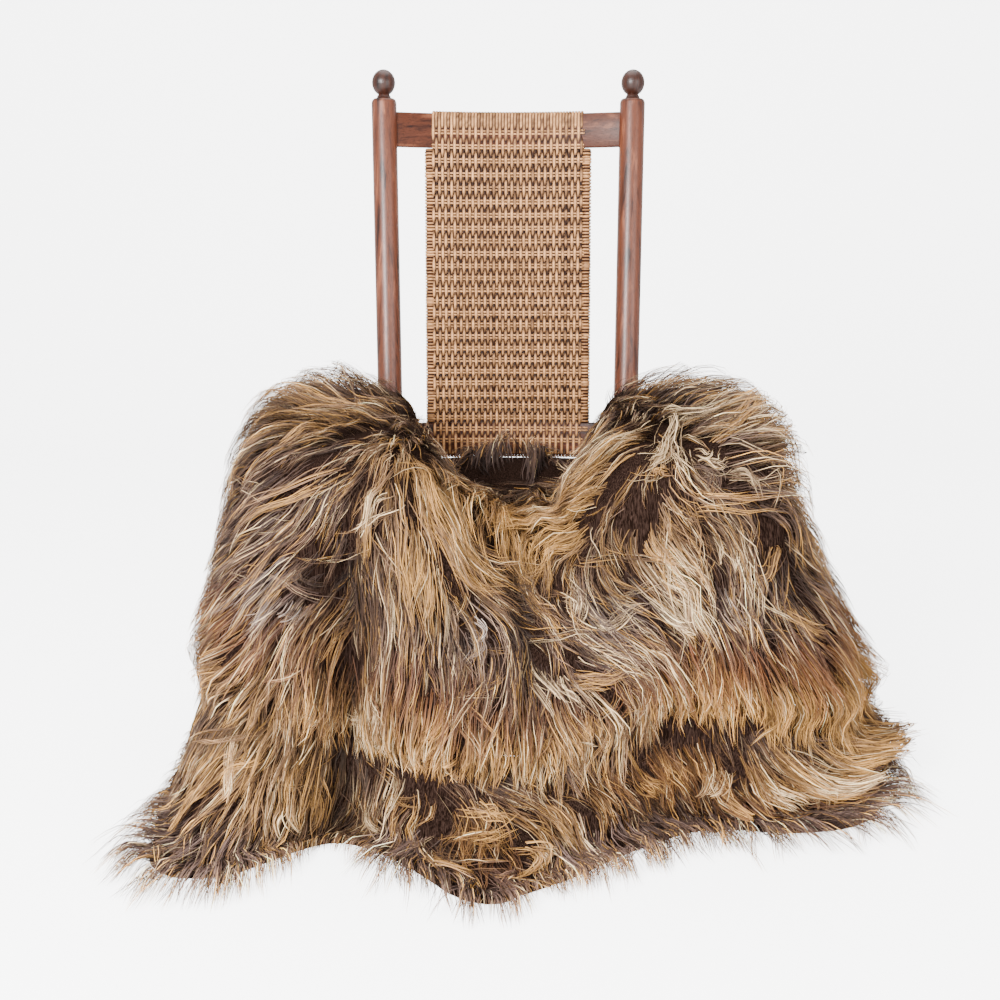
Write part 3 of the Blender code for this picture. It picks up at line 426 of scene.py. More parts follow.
# Tresses that stand out, by their tone: places and rows along each, from its root to its tip
TRESSES_UPPER = {
    "gold": (
        ((5.75, 10.4), (3.75, 8.5), (2.50, 8.6), (1.50, 9.0), (1.50, 10.0), (2.50, 11.5), (2.50, 12.2)),
        ((4.75, 9.5), (4.50, 10.6), (4.50, 11.6), (4.62, 12.5), (4.62, 13.1)),
        ((6.12, 10.6), (6.00, 11.9), (5.62, 12.9), (5.25, 13.5), (4.75, 14.2), (4.25, 14.6),
            (3.88, 15.2)),
        ((6.50, 11.8), (6.75, 11.6), (7.00, 12.1), (7.25, 13.0), (7.62, 13.4), (8.12, 13.2)),
        ((6.50, 12.1), (6.88, 12.2), (7.25, 13.2), (7.62, 14.0), (8.50, 13.5)),
        ((6.62, 12.1), (6.75, 13.0), (6.75, 14.2), (6.88, 15.4), (7.00, 16.5)),
        ((7.00, 12.0), (7.00, 13.4), (7.00, 14.2), (7.12, 15.1), (7.12, 16.0)),
        ((10.50, 13.4), (10.25, 12.0), (9.62, 10.9), (8.12, 11.0), (7.50, 12.1)),
        ((10.38, 13.5), (10.12, 12.8), (9.75, 12.9), (9.50, 13.1)),
        ((9.25, 16.8), (9.50, 17.5), (9.88, 18.0), (10.25, 17.9)),
        ((10.88, 14.2), (10.88, 14.9), (11.00, 15.5), (11.25, 15.4)),
        ((11.88, 11.5), (12.88, 10.4), (13.88, 9.9), (15.00, 9.4)),
        ((11.88, 12.0), (12.25, 12.0), (13.00, 11.2), (13.50, 11.0)),
        ((11.25, 12.8), (11.00, 13.0), (11.00, 13.1)),
        ((11.38, 13.8), (11.50, 14.0), (11.75, 14.1), (12.38, 14.0)),
        ((12.38, 14.9), (12.38, 15.2), (12.12, 15.9), (11.88, 16.0)),
        ((12.25, 16.5), (12.38, 17.0), (12.75, 17.5), (13.00, 17.5)),
        ((7.38, 17.6), (7.38, 18.8), (7.25, 19.6)), ((9.75, 19.0), (9.62, 19.6), (9.62, 20.0)),
        ((6.25, 12.8), (6.25, 13.6), (6.25, 14.6)),
    ),
    "cream": (
        ((6.50, 12.0), (6.38, 12.6), (6.25, 13.1), (6.25, 13.8), (6.12, 14.2)),
        ((9.50, 13.8), (9.75, 14.8), (9.88, 15.5), (9.75, 16.0)),
        ((9.50, 14.8), (9.88, 15.8), (10.12, 16.4), (10.50, 16.5)),
        ((10.50, 14.1), (10.75, 15.0), (11.00, 16.1), (11.25, 16.6), (11.25, 17.5), (11.38, 18.0)),
        ((10.50, 15.4), (10.88, 16.9), (11.12, 17.5), (11.25, 17.6)),
        ((10.25, 16.8), (10.38, 17.9), (10.75, 18.5), (10.88, 19.0), (11.00, 19.8)),
        ((9.00, 15.9), (8.88, 16.6), (9.12, 17.8), (9.25, 18.4)),
        ((9.25, 16.4), (9.25, 17.6), (9.38, 18.2), (9.50, 19.1)),
        ((14.62, 6.9), (12.88, 8.6), (11.75, 11.2), (11.25, 12.8), (11.00, 13.1)),
        ((11.50, 12.5), (11.75, 12.5), (11.75, 13.0), (11.88, 12.9)),
        ((11.88, 13.0), (12.12, 13.2), (12.25, 13.8)), ((11.75, 14.6), (11.75, 15.4), (11.75, 15.9)),
        ((10.75, 14.1), (10.88, 15.0), (11.12, 15.8), (11.25, 16.4)),
        ((6.38, 18.2), (6.50, 18.8), (6.50, 19.6)), ((6.12, 19.2), (6.12, 19.8), (6.00, 20.0)),
        ((11.50, 11.1), (11.25, 12.5), (11.00, 13.0)),
    ),
    "silver": (
        ((5.00, 15.8), (4.75, 16.8), (4.62, 17.4), (4.38, 17.8)),
        ((5.25, 16.4), (5.12, 17.1), (5.00, 17.5)), ((11.75, 16.4), (11.75, 17.0), (11.88, 17.5)),
        ((7.50, 15.1), (7.75, 15.8), (7.62, 16.5)),
    ),
    "mauve": (
        ((5.75, 15.2), (5.50, 15.1), (5.38, 15.4), (5.25, 15.8), (5.50, 15.8), (5.75, 15.6)),
        ((11.50, 12.8), (11.62, 13.1), (11.75, 13.4), (11.62, 14.0)),
        ((9.38, 13.6), (9.88, 14.1), (9.88, 15.0), (9.75, 15.8)),
    ),
}
TRESSES_LOWER = {
    "gold": (
        ((11.38, 24.1), (11.38, 24.4), (11.62, 24.9), (11.62, 24.9)),
        ((12.88, 23.0), (13.00, 23.2), (13.38, 23.8)),
        ((7.25, 21.6), (7.38, 22.1), (8.00, 21.8), (8.12, 22.1), (8.38, 22.4)),
        ((7.88, 24.5), (8.12, 23.5), (8.50, 23.9), (8.62, 24.9), (8.62, 25.6), (8.38, 26.0),
            (8.12, 25.6)),
        ((7.38, 23.2), (7.62, 23.1), (8.00, 22.9), (8.38, 22.9)),
        ((4.88, 21.1), (4.75, 21.9), (4.50, 22.2), (4.38, 23.0)),
        ((3.88, 22.1), (4.00, 23.1), (3.88, 24.2), (3.75, 25.6)),
        ((5.50, 21.9), (5.50, 23.0), (5.62, 24.0), (5.62, 25.4)),
        ((6.88, 24.9), (7.25, 25.9), (7.50, 26.0), (7.88, 25.9)),
        ((10.50, 21.6), (10.75, 22.8), (10.75, 23.6)), ((10.25, 22.5), (10.38, 23.5), (10.62, 24.1)),
    ),
    "cream": (
        ((12.75, 22.8), (12.62, 23.1), (12.62, 24.0), (13.00, 24.2), (13.25, 24.8)),
        ((12.50, 22.8), (12.50, 23.1), (12.62, 23.9), (12.88, 24.4), (13.12, 25.0)),
        ((12.25, 23.0), (12.25, 23.4), (12.38, 24.0), (12.50, 24.2), (12.50, 25.4), (12.50, 25.0)),
        ((12.00, 22.9), (11.88, 23.4), (12.12, 24.0), (12.25, 24.5)),
        ((11.50, 22.8), (11.50, 23.1), (11.38, 23.8), (11.25, 24.1)),
        ((8.62, 23.5), (8.75, 25.2), (8.88, 26.0)), ((8.62, 23.9), (8.62, 25.1), (8.75, 26.0)),
        ((6.50, 23.4), (6.38, 24.4), (6.62, 25.0)),
        ((4.38, 20.6), (4.38, 21.6), (4.50, 22.9), (4.50, 23.6)),
        ((5.12, 22.2), (5.25, 23.6), (5.25, 24.2), (5.50, 25.5)),
    ),
}

# Pieces of wool: name, first and last place along STATIONS
UPPER_PIECES = (
    ("left_side", 0.0, 4.0), ("left_front", 4.0, 7.2), ("middle", 7.2, 10.4),
    ("right_front", 10.4, 13.2), ("right_side", 13.2, 16.0),
)
LOWER_PIECES = (("left", 0.0, 7.0), ("right", 7.0, 16.0))

# Strands of wool
STEPS = 8  # points along a strand
TRESS_STEPS = 11
SHORT_WAVE = 3.2  # the least number of those points to a wave
TRESS_LOCKS = 3  # locks in a tress
ABOVE_SHARE = 0.30  # share of the locks that lie over the others
ABOVE_LONG, UNDER_LONG = 1.30, 0.90  # shares of the wool's length, of those locks and of the others
ABOVE_HEIGHT = (0.95, 1.09)  # shares of the wool's height, of those locks and of the others
UNDER_HEIGHT = (0.64, 0.97)
TRESS_WIDTH = 0.95  # share of a lock's usual width
TRESS_SHARE = {"gold": 0.55, "cream": 0.42, "silver": 0.22, "mauve": 0.80}
STRAND_SIDE_SHADE = 0.35  # painted shade across a strand: how much lighter one edge and darker the other is than its middle, at most
SHEEN = 0.14  # painted sheen: how much lighter and darker a strand gets along its waves
RISE = 2.4  # how soon a strand reaches its height: more is sooner
COVER_ROUNDS = ((0.70, 1.3), (0.16, 2.4), (0.14, 3.0))  # locks added, and pull of thin places
COVER_LIMITS = (0.12, 4.0)  # how thin and how thick a place can count, against the mean
COVER_DARK, COVER_LIGHT = 0.55, 0.45  # the pull of the darkest hollows, and more for the light
CROSSING = 0.08  # share of the locks that lie across the others
CROSS_TURN = 70.0  # degrees by which those are turned, at most
CHOICE = 3.0  # locks that are tried for each that is kept, so that they cover the rug evenly
STRAY = (5.0, 0.5)  # degrees by which a lock strays, and more for each degree of tangle
BEND = (11.0, 1.3)  # the same for how it bends on its way
BEND_FROM = 0.4  # share of its length at which it lies as it is combed
WANDER = (2.5, 0.5)  # the same for the drift that neighbours share
DRIFTS = ((2.6, 0.9, 0.0), (5.3, -1.3, 1.0))  # its waves: turn for each place and row, and phase
ROW_PULL = 0.15  # how much a lock follows the hide's own way down, beside the fall
RIM_OUT = 0.020  # how far the form goes on past the rug's rear edges
RIM_STAND = 0.5  # share of the wool's height there
MID_WOOL = 0.6  # share of the wool's height at which the way round and down is measured
PAST_LIP = slice(1, 5)  # rows of the lower tier on which the upper one's tips lie
LIP_CLEAR = 0.007  # how far the upper tier's tips stay off the lower tier's wool
FLOOR_CLEAR = 0.0022  # how far strands stay off the floor
LONG_SPREAD = (0.75, 1.10)  # shares of the usual length that locks have
LEAST_SLANT = 0.8  # so much of a lock runs straight down, at least, as its length is cut to fit
TRESS_SHIFT, TRESS_FAN = (0.055, 0.13), (0.05, 0.12)  # in places and rows
TANGLED = 30.0  # degrees of tangle at which the shares below are added in full
TANGLE_SHORTER, TANGLE_WAVIER, TANGLE_LOOSER = 0.5, 0.9, 1.5
WHOLE_WAY = 0.3  # how much a strand's whole way counts for its side, beside each step
STRAND_START = (0.0, 0.22)  # where strands begin and end along their lock
STRAND_END, END_POWER = (0.60, 1.0), 0.7
ABOVE_STRAY, UNDER_STRAY = 0.025, 0.04  # how much strands of a lock differ in height
HEIGHT_LIMITS = (0.3, 1.16)
LANDS = (25.7, 0.9)  # rows at which tips come to lie on the floor: start and span
LANDED, LAND_POWER = 0.92, 3.5  # how much of the height goes there, and how late on a strand
GATHER, GATHER_POWER = (0.35, 0.97), 1.5  # how far a lock closes to its tip, and how late
WAVE_LONG = (0.8, 1.7)  # shares of the usual wave's length
WAVE_OF_LOCK, WAVE_OF_STRAND = (0.4, 1.4), (0.6, 1.2)  # shares of the usual sway
WAVE_POWER, WAVE_OUT, WAVE_OUT_TURN = 0.8, 0.15, 1.3
PHASE_SPREAD = 0.45  # how far strands of a lock are out of step
FLY, FLY_LIMIT, FLY_OUT = 0.013, 0.02, 0.4  # metres by which loose strands stray, at most, and out
ROLL = 30.0  # degrees by which strands turn about themselves
ROOT_SHADE_ABOVE, ROOT_SHADE_UNDER = 0.18, 0.30  # length of the root's painted shade, in shares of a strand
TIP_RUN = 0.36  # length over which a tip's tone comes in
SHADE, SHADE_LEAST = 0.72, 0.28  # the light that creases take, and the light that they leave
SHEEN_TURNS, SHEEN_SPREAD = (0.8, 2.4), 0.13
WIDTH_SPREAD = (0.5, 1.4)  # shares of the usual width
TAPER = (1.25, 0.85)  # a strand's width at its root and what goes from it to the tip
ROOT_WIDTH, ROOT_GROWS, ROOT_RUN = 0.55, 0.45, 0.3  # share at the root, growth, and its length
SPOT_ACROSS, SPOT_ALONG = (0.12, 0.88), (0.08, 0.92)  # part of its cell on the bake map

# Tones of the wool, in shares: of its own tone for each lock and strand, bands of other tones,
# pale tips by area, and the light that comes down to each
WOOL_TONES = ("root", "mauve", "brown", "rust", "gold", "cream", "silver", "ochre")
BROWN_OF_LOCK, BROWN_OF_STRAND = 0.55, 0.45
BANDS = (("rust", 0.9), ("ochre", 0.85), ("silver", 0.85), ("gold", 0.5))
BAND_LEAST, BAND_SPREAD = 0.55, 0.9  # how much of a band a strand has at least, and varies
PALE_LEAST, PALE_OF_LOCK = 0.03, 0.34  # share of strands with a pale tip
PALE_HIGH, PALE_FROM = 0.2, 0.7  # more for those on top, from this share of the wool's height
PALE_GOLD, PALE_CREAM, PALE_SILVER, PALE_DARK = 0.45, 0.5, 0.25, 0.3
CREAM_USUAL, CREAM_CREAM, CREAM_GOLD = 0.40, 0.8, 0.30  # share of those whose tip is cream
LIT, LIT_GOLD = 1.80, 0.12  # how much lighter other tips are than the middle, and how golden
PALE_BEGINS, PALE_VARIES = 0.12, 0.60  # where on a strand the tip's tone begins
LIT_BEGINS, RUST_BEGINS = 0.55, 0.58
TRESS_REST = 0.15  # how much of a tress's tone its other strands have
TRESS_MIDDLE, TRESS_TIP = 0.45, 0.9
TRESS_BEGINS, TRESS_VARIES = 0.05, 0.45
BRIGHT_SPREAD, BRIGHT_LIMITS = 0.26, (0.4, 1.8)  # from strand to strand
BRIGHT_LEAST, BRIGHT_OF_LOCK = 0.72, 0.62  # from lock to lock
BRIGHT_LOW, BRIGHT_HIGH, BRIGHT_POWER = 0.22, 0.62, 2.2  # painted shade deep in the wool, and more light at its top
RIM_LIGHT = ((0.35, 25.2, 0.8), (0.55, 26.0, 0.5))  # light at the hem: amount, row and span
DARK_TAKES, DARK_LEAVES = 0.5, 0.3  # in the spots of painted shade

# Underwool, rims and hide
UNDERWOOL = 0.60  # the underwool's share of the wool's height
REAR_FELT = 0.78  # the same at the rug's rear edge on the seat
SKIRT = 0.22  # how much of the long wool's reach past the hem the underwool has
SKIRT_IN, SKIRT_TALL = 0.6, 0.007  # where its top ends, as a share of that, and how high
FELT_RIM, FELT_RUN = 0.12, 1.2  # what is left of the underwool at its rim, and cells to get there
FELT_SWELL = 0.3  # how much of the swells it takes part in
FELT_LEAST = 0.001  # its least thickness
REAR_ROWS = 3.0  # rows over which the higher underwool at the rear edge runs out
REAR_OUT = 0.020  # how far the wool reaches back over the rug's rear edge
HEM_ROWS = (  # rows past the hem on which tips lie: reach and height
    (0.045, 0.038), (0.090, 0.034), (0.150, 0.020), (0.320, 0.010),
)
HEM_LEFT = 0.85  # share of the light that reaches the hem's wool
REAR_LEFT = 0.70  # the same for the wool at the rear edge
HIDE_THICK = 0.0020


# Small helpers


def unit(vectors):
    return vectors / np.maximum(np.linalg.norm(vectors, axis=-1, keepdims=True), 1e-9)


def smooth_step(x):
    x = np.clip(x, 0.0, 1.0)
    return x * x * (3 - 2 * x)


def rising(x, start, span):
    return smooth_step((x - start) / span)


def falling(x, end, span):
    return smooth_step((end - x) / span)


def mix(a, b, share):
    return a + (b - a) * share


def bell(distance, half):
    return np.exp(-((distance / half) ** 2))


def blurred(grid, axis):
    """Each value with its neighbours along an axis, which count half as much, unscaled."""
    last = grid.shape[axis] - 1
    before = np.take(grid, np.r_[0, 0:last], axis)
    after = np.take(grid, np.r_[1 : last + 1, last], axis)
    return before + 2 * grid + after


def facing(grid):
    return unit(np.cross(np.gradient(grid, axis=1), np.gradient(grid, axis=0)))


def cell_areas(grid):
    a, b = np.diff(grid, axis=0)[:, :-1], np.diff(grid, axis=1)[:-1]
    return np.linalg.norm(np.cross(a, b), axis=-1)


def place_at(column):
    """The place along STATIONS of a column of the hide's grid."""
    return column * LAST_PLACE / ACROSS


def finished(obj, *nodes, slot):
    """Puts a piece on the chair's body, in the place of the nodes that it stands for."""
    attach(obj, BODY)
    if nodes:
        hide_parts(*nodes)
    return obj


def linked(name, mesh, material):
    mesh.materials.append(material)
    obj = bpy.data.objects.new(name, mesh)
    bpy.context.scene.collection.objects.link(obj)
    return obj


def from_bmesh(name, bm, material, smooth_angle=40.0):
    """The bmesh as a piece, moved from the chair's own place to the row frame."""
    bmesh.ops.recalc_face_normals(bm, faces=list(bm.faces))
    bmesh.ops.translate(bm, vec=Vector(CHAIR), verts=list(bm.verts))
    mesh = bpy.data.meshes.new(name)
    bm.to_mesh(mesh)
    bm.free()
    mesh.shade_smooth()
    mesh.set_sharp_from_angle(angle=math.radians(smooth_angle))
    return linked(name, mesh, material)


def paint_points(mesh, colours):
    paint = mesh.color_attributes.new("tone", "BYTE_COLOR", "POINT")
    full = np.concatenate([colours, np.ones((len(colours), 1))], axis=1)
    paint.data.foreach_set("color", np.clip(full, 0, 1).astype(np.float32).ravel())


def from_arrays(name, verts, quads, triangles, colours, spots, material):
    """A mesh of many alike strips, joined. colours go to its points, spots to its bake map."""
    mesh = bpy.data.meshes.new(name)
    mesh.vertices.add(len(verts))
    mesh.vertices.foreach_set("co", (verts + CHAIR).astype(np.float32).ravel())
    corners = np.concatenate([quads.ravel(), triangles.ravel()]).astype(np.int32)
    starts = np.concatenate([
        4 * np.arange(len(quads)), 4 * len(quads) + 3 * np.arange(len(triangles)),
    ])
    mesh.loops.add(len(corners))
    mesh.loops.foreach_set("vertex_index", corners)
    mesh.polygons.add(len(starts))
    mesh.polygons.foreach_set("loop_start", starts.astype(np.int32))
    mesh.update(calc_edges=True)
    mesh.shade_smooth()
    paint_points(mesh, colours)
    bake = mesh.uv_layers.new(name="OFBake")
    bake.data.foreach_set("uv", spots[corners].astype(np.float32).ravel())
    return linked(name, mesh, material)


# The rug's form, worked out as in the solids


def catmull(values, at):
    """Rows of values read at fractional row numbers, on a smooth curve through the rows."""
    values = np.asarray(values, float)
    last = len(values) - 1
    at = np.clip(at, 0.0, last)
    i = np.minimum(at.astype(int), last - 1)
    f = (at - i)[:, None]
    p0, p1 = values[np.maximum(i - 1, 0)], values[i]
    p2, p3 = values[i + 1], values[np.minimum(i + 2, last)]
    return 0.5 * (
        2 * p1 + (p2 - p0) * f + (2 * p0 - 5 * p1 + 4 * p2 - p3) * f**2
        + (3 * p1 - p0 - 3 * p2 + p3) * f**3
    )


def stations(across):
    table = catmull([row[1:] for row in STATIONS], np.linspace(0, LAST_PLACE, across + 1))
    return dict(zip(STATION_COLUMNS[1:], table.T))


def hide_height(x, y):
    """The hide over the chair: the seat, a valley that narrows to the front, and the arms."""
    share = falling(y, *VALLEY_RUN)
    half = mix(VALLEY_BACK, VALLEY_FRONT, share)
    middle = VALLEY_SIDE * share
    foot = ARM_FOOT - middle * np.sign(x - middle)
    up = rising(np.abs(x - middle), half, foot - half)
    back = BACK_RISE * rising(y, *BACK_RUN) * (1 - up)
    sag = SAG * falling(y, *SAG_RUN) * (1 - up)
    return HIDE_ON_SEAT + back - sag + (HIDE_ON_ARM - HIDE_ON_SEAT) * up


def line_of(row):
    """The hide's line from the back edge to the hem, and which of its points is on the seam."""
    start, edge = np.array([row["start"], BACK_EDGE]), np.array([row["edge_x"], row["edge_y"]])
    out = np.array([row["hem_x"], row["hem_y"]]) - edge
    plan = start + (edge - start) * np.linspace(0, 1, TOP_POINTS)[:, None]
    top = np.column_stack([plan, hide_height(plan[:, 0], plan[:, 1])])
    shoulder = min(SHOULDER / np.linalg.norm(out), SHOULDER_SHARE)
    steps = np.array((
        (0.0, 1.0), (shoulder / 2, SHOULDER_HEIGHTS[0]), (shoulder, SHOULDER_HEIGHTS[1]),
        (row["hang"], HANG_HEIGHT), (row["foot"], 0.0), (1.0, 0.0),
    ))
    fall = catmull(steps, np.linspace(0, len(steps) - 1, FALL_POINTS))
    fall[:, 1] = np.maximum(fall[:, 1], 0.0)
    drop = np.column_stack([edge + out * fall[:, :1], top[-1, 2] * fall[:, 1]])
    line = np.concatenate([top, drop[1:]])
    for _ in range(LINE_PASSES):
        line[1:-1] = (line[:-2] + 2 * line[1:-1] + line[2:]) / 4
    line[:, 2] = np.maximum(line[:, 2], 0.0)
    seam = len(top) + int(np.argmax(line[len(top):, 2] < row["seam"]))
    return line, seam


def resampled(line, rows):
    along = np.concatenate([[0], np.cumsum(np.linalg.norm(np.diff(line, axis=0), axis=1))])
    at = np.linspace(0, along[-1], rows + 1)
    return np.stack([np.interp(at, along, line[:, k]) for k in range(3)], axis=1)


def hide_grid():
    """Points of the hide as two grids, [place round the rug, place down it], one for each tier."""
    columns = stations(ACROSS)
    upper, lower = [], []
    for i in range(ACROSS + 1):
        line, seam = line_of({key: value[i] for key, value in columns.items()})
        upper.append(resampled(line[: seam + 1], UPPER_ROWS))
        lower.append(resampled(line[seam:], LOWER_ROWS))
    return np.array(upper), np.array(lower)


def outward(grid, passes=8):
    """The directions in which the wool stands off the hide, smoothed."""
    normal = facing(grid)
    for _ in range(passes):
        for axis in (0, 1):
            normal = blurred(normal, axis)
        normal = unit(normal)
    return normal


def places(grid):
    share = np.linspace(0, LAST_PLACE, grid.shape[0])
    return share[:, None] * np.ones(grid.shape[:2])


def lumps(grid):
    """Uneven wool: long soft ridges that run down the rug, broken up by wider swellings."""
    u, z, turn = places(grid) / LAST_PLACE, grid[..., 2], 2 * math.pi
    ridge = np.sin(turn * (RIDGES * u + RIDGE_SWAY * np.sin(turn * z / RIDGE_LONG)))
    swell = sum(np.sin(turn * (count * u + z / long) + phase) for count, long, phase in SWELLINGS)
    return LUMP * (ridge + SWELLING_SHARE * swell)


def creases(grid, hanging):
    """The share of the wool's height that is left in the creases, which are where it hangs. The strands
    there are darkened by it as painted shade.
    """
    u, z = places(grid), grid[..., 2]
    left = np.ones(grid.shape[:2])
    for values in CREASES:
        row = dict(zip(CREASE_COLUMNS, values))
        across = bell(u - row["place"], row["width"])
        along = rising(z, row["low"], CREASE_END) * falling(z, row["high"], CREASE_END)
        left *= 1 - row["depth"] * across * along * hanging
    return left


def plan_outward(line):
    along = np.gradient(line, axis=0)
    return unit(np.column_stack([along[:, 1], -along[:, 0], np.zeros(len(line))]))


def rug_form():
    """The hide and the top of the wool of both tiers, and how deep the creases go."""
    upper, lower = hide_grid()
    normal = outward(np.concatenate([upper, lower[:, 1:]], axis=1))
    column = np.arange(ACROSS + 1)
    round_rim = np.minimum(column, ACROSS - column)[:, None]
    side_rim = mix(RIM_PILE, 1.0, rising(round_rim, *RIM_RISES))

    down = np.linspace(0, 1, UPPER_ROWS + 1)[None, :]
    pile = mix(PILE_START, PILE, rising(down, *PILE_RISES))
    pile = pile + (PILE_LIP - PILE) * rising(down, *LIP_RISES)
    pile = (pile + lumps(upper) * rising(down, *LUMPS_RISE)) * side_rim
    left = creases(upper, rising(down, *CREASES_BEGIN))
    left[:, -1] = np.maximum(left[:, -1], LIP_CREASE)
    top = upper + normal[:, : UPPER_ROWS + 1] * (pile * left)[..., None]

    down = np.linspace(0, 1, LOWER_ROWS + 1)[None, :]
    rise = rising(down, *LOWER_RISES)
    pile_low = mix(PILE_SEAM, PILE_TUCKED, rising(down, *TUCK_RISES))
    pile_low = pile_low + (PILE - PILE_TUCKED) * rise
    pile_low = pile_low + (PILE_HEM - PILE) * rising(down, *HEM_FALLS)
    pile_low = pile_low + lumps(lower) * rise
    left_low = creases(lower, 1.0)
    pile_low = np.maximum(pile_low * side_rim * left_low, PILE_SEAM)
    lower[:, 0, 2] -= SEAM_GAP
    top_low = lower + normal[:, UPPER_ROWS:] * pile_low[..., None]
    top_low[:, -1] = lower[:, -1] - HEM_IN * plan_outward(lower[:, -1]) + [0, 0, PILE_HEM]
    top_low[..., 2] = np.maximum(top_low[..., 2], PILE_LEAST)
    return {
        "upper": upper, "upper_top": top, "upper_left": left,
        "lower": lower, "lower_top": top_low, "lower_left": left_low,
        "normal_low": normal[:, UPPER_ROWS:],
    }


def widened(grid, out):
    """The grid with a column more at each side, out from its edge."""
    first = grid[:1] + out[0] * RIM_OUT
    last = grid[-1:] + out[1] * RIM_OUT
    return np.concatenate([first, grid, last])


def spot_sum(spots, place, row):
    """What a table of spots amounts to at places and rows."""
    total = np.zeros(np.broadcast(place, row).shape)
    for middle, wide, at_row, tall, amount in spots:
        total = total + amount * bell(place - middle, wide) * bell(row - at_row, tall)
    return total


def combed(areas, place, row):
    """How far the wool is turned at places and rows, as cosine and sine."""
    spots = np.array([spot for area in areas.values() for spot in area])
    near = bell(place[..., None] - spots[:, 0], COMB_PLACE)
    near = near * bell(row[..., None] - spots[:, 1], COMB_ROW)
    turns = np.radians(spots[:, 2])
    down = COMB_LEAST + (near * np.cos(turns)).sum(-1)
    return np.stack([down, (near * np.sin(turns)).sum(-1)], -1)


def shell(hide, top, left, first_row, last_row, comb, hollows, swells, tangles, tones):
    """The space that the wool fills: its hide, what leads from there to its top, and its combing."""
    out = (unit(hide[0] - hide[1]), unit(hide[-1] - hide[-2]))
    stand = top - hide
    stand = np.concatenate([RIM_STAND * stand[:1], stand, RIM_STAND * stand[-1:]])
    hide = widened(hide, out)
    place = place_at((np.arange(len(hide)) - 1.0)[:, None]) * np.ones(hide.shape[:2])
    row = first_row + np.arange(hide.shape[1])[None, :] * np.ones((len(hide), 1))
    left = np.concatenate([left[:1], left, left[-1:]])
    stand = stand * (1 + spot_sum(swells.values(), place, row))[..., None]
    # painted shade in each hollow, as well as lower wool in its middle
    for middle, wide, at_row, tall, amount in hollows.values():
        dark = HOLLOW_LIGHT * amount * bell(place - middle, wide) * bell(row - at_row, tall)
        left = left * (1 - dark)
        wide, tall = HOLLOW_INNER * wide, HOLLOW_INNER * tall
        low = amount * bell(place - middle, wide) * bell(row - at_row, tall)
        stand = stand * (1 - HOLLOW_DEEP * low)[..., None]
    middle = hide + MID_WOOL * stand
    return {
        "hide": hide, "stand": stand, "left": left[..., None], "first_row": first_row,
        "round": np.gradient(middle, axis=0), "down": np.gradient(middle, axis=1),
        "comb": unit(combed(comb, place, np.minimum(row, last_row))),
        "tangle": spot_sum(tangles.values(), place, row)[..., None], "tones": tones,
    }


def upper_shell(form):
    """The upper tier's wool, and where its tips hang on over the lower tier."""
    over = form["lower_top"][:, PAST_LIP] + LIP_CLEAR * form["normal_low"][:, PAST_LIP]
    first, second = form["upper"][:, :1], form["upper"][:, 1:2]
    rear = first + REAR_OUT * unit(first - second)
    rear_top = rear + (form["upper_top"][:, :1] - first)
    rear_left = np.maximum(form["upper_left"][:, :1], REAR_LEFT)
    hide = np.concatenate([rear, form["upper"], form["lower"][:, PAST_LIP]], axis=1)
    top = np.concatenate([rear_top, form["upper_top"], over], axis=1)
    left = np.concatenate([rear_left, form["upper_left"], form["lower_left"][:, PAST_LIP]], axis=1)
    return shell(
        hide, top, left, -1, UPPER_ROWS + COMB_PAST_LIP, COMB_UPPER, HOLLOWS_UPPER,
        SWELLS_UPPER, TANGLES_UPPER, TONES_UPPER,
    )


def lower_shell(form):
    """The lower tier's wool, and where its tips lie on over the floor."""
    hem = form["lower"][:, -1]
    out = plan_outward(hem)
    hide, top = [form["lower"]], [form["lower_top"]]
    for reach, height in HEM_ROWS:
        hide.append((hem + out * reach)[:, None])
        top.append((hem + out * reach + [0, 0, height])[:, None])
    left = np.maximum(form["lower_left"][:, -1:], HEM_LEFT)
    left = np.concatenate([form["lower_left"]] + [left] * len(HEM_ROWS), axis=1)
    hide, top = np.concatenate(hide, axis=1), np.concatenate(top, axis=1)
    return shell(
        hide, top, left, UPPER_ROWS, UPPER_ROWS + LOWER_ROWS, COMB_LOWER, HOLLOWS_LOWER,
        SWELLS_LOWER, TANGLES_LOWER, TONES_LOWER,
    )


def between(grid, i, j):
    """A shell's grid read between its points. i is the place round the rug, in cells."""
    i = np.clip(i + 1, 0, grid.shape[0] - 1.001)
    j = np.clip(j, 0, grid.shape[1] - 1.001)
    a, b = i.astype(int), j.astype(int)
    f, g = (i - a)[..., None], (j - b)[..., None]
    low = grid[a, b] * (1 - f) + grid[a + 1, b] * f
    high = grid[a, b + 1] * (1 - f) + grid[a + 1, b + 1] * f
    return low * (1 - g) + high * g


# Strands


def scattered(hide, skip, rows, count, draw):
    """Places of locks' roots, evenly spread over the hide. skip: rows before its first edge."""
    area = cell_areas(hide[1:-1, skip : skip + rows + 1])
    chosen = draw.choice(area.size, count, p=(area / area.sum()).ravel())
    return chosen // rows + draw.random(count), skip + chosen % rows + draw.random(count)


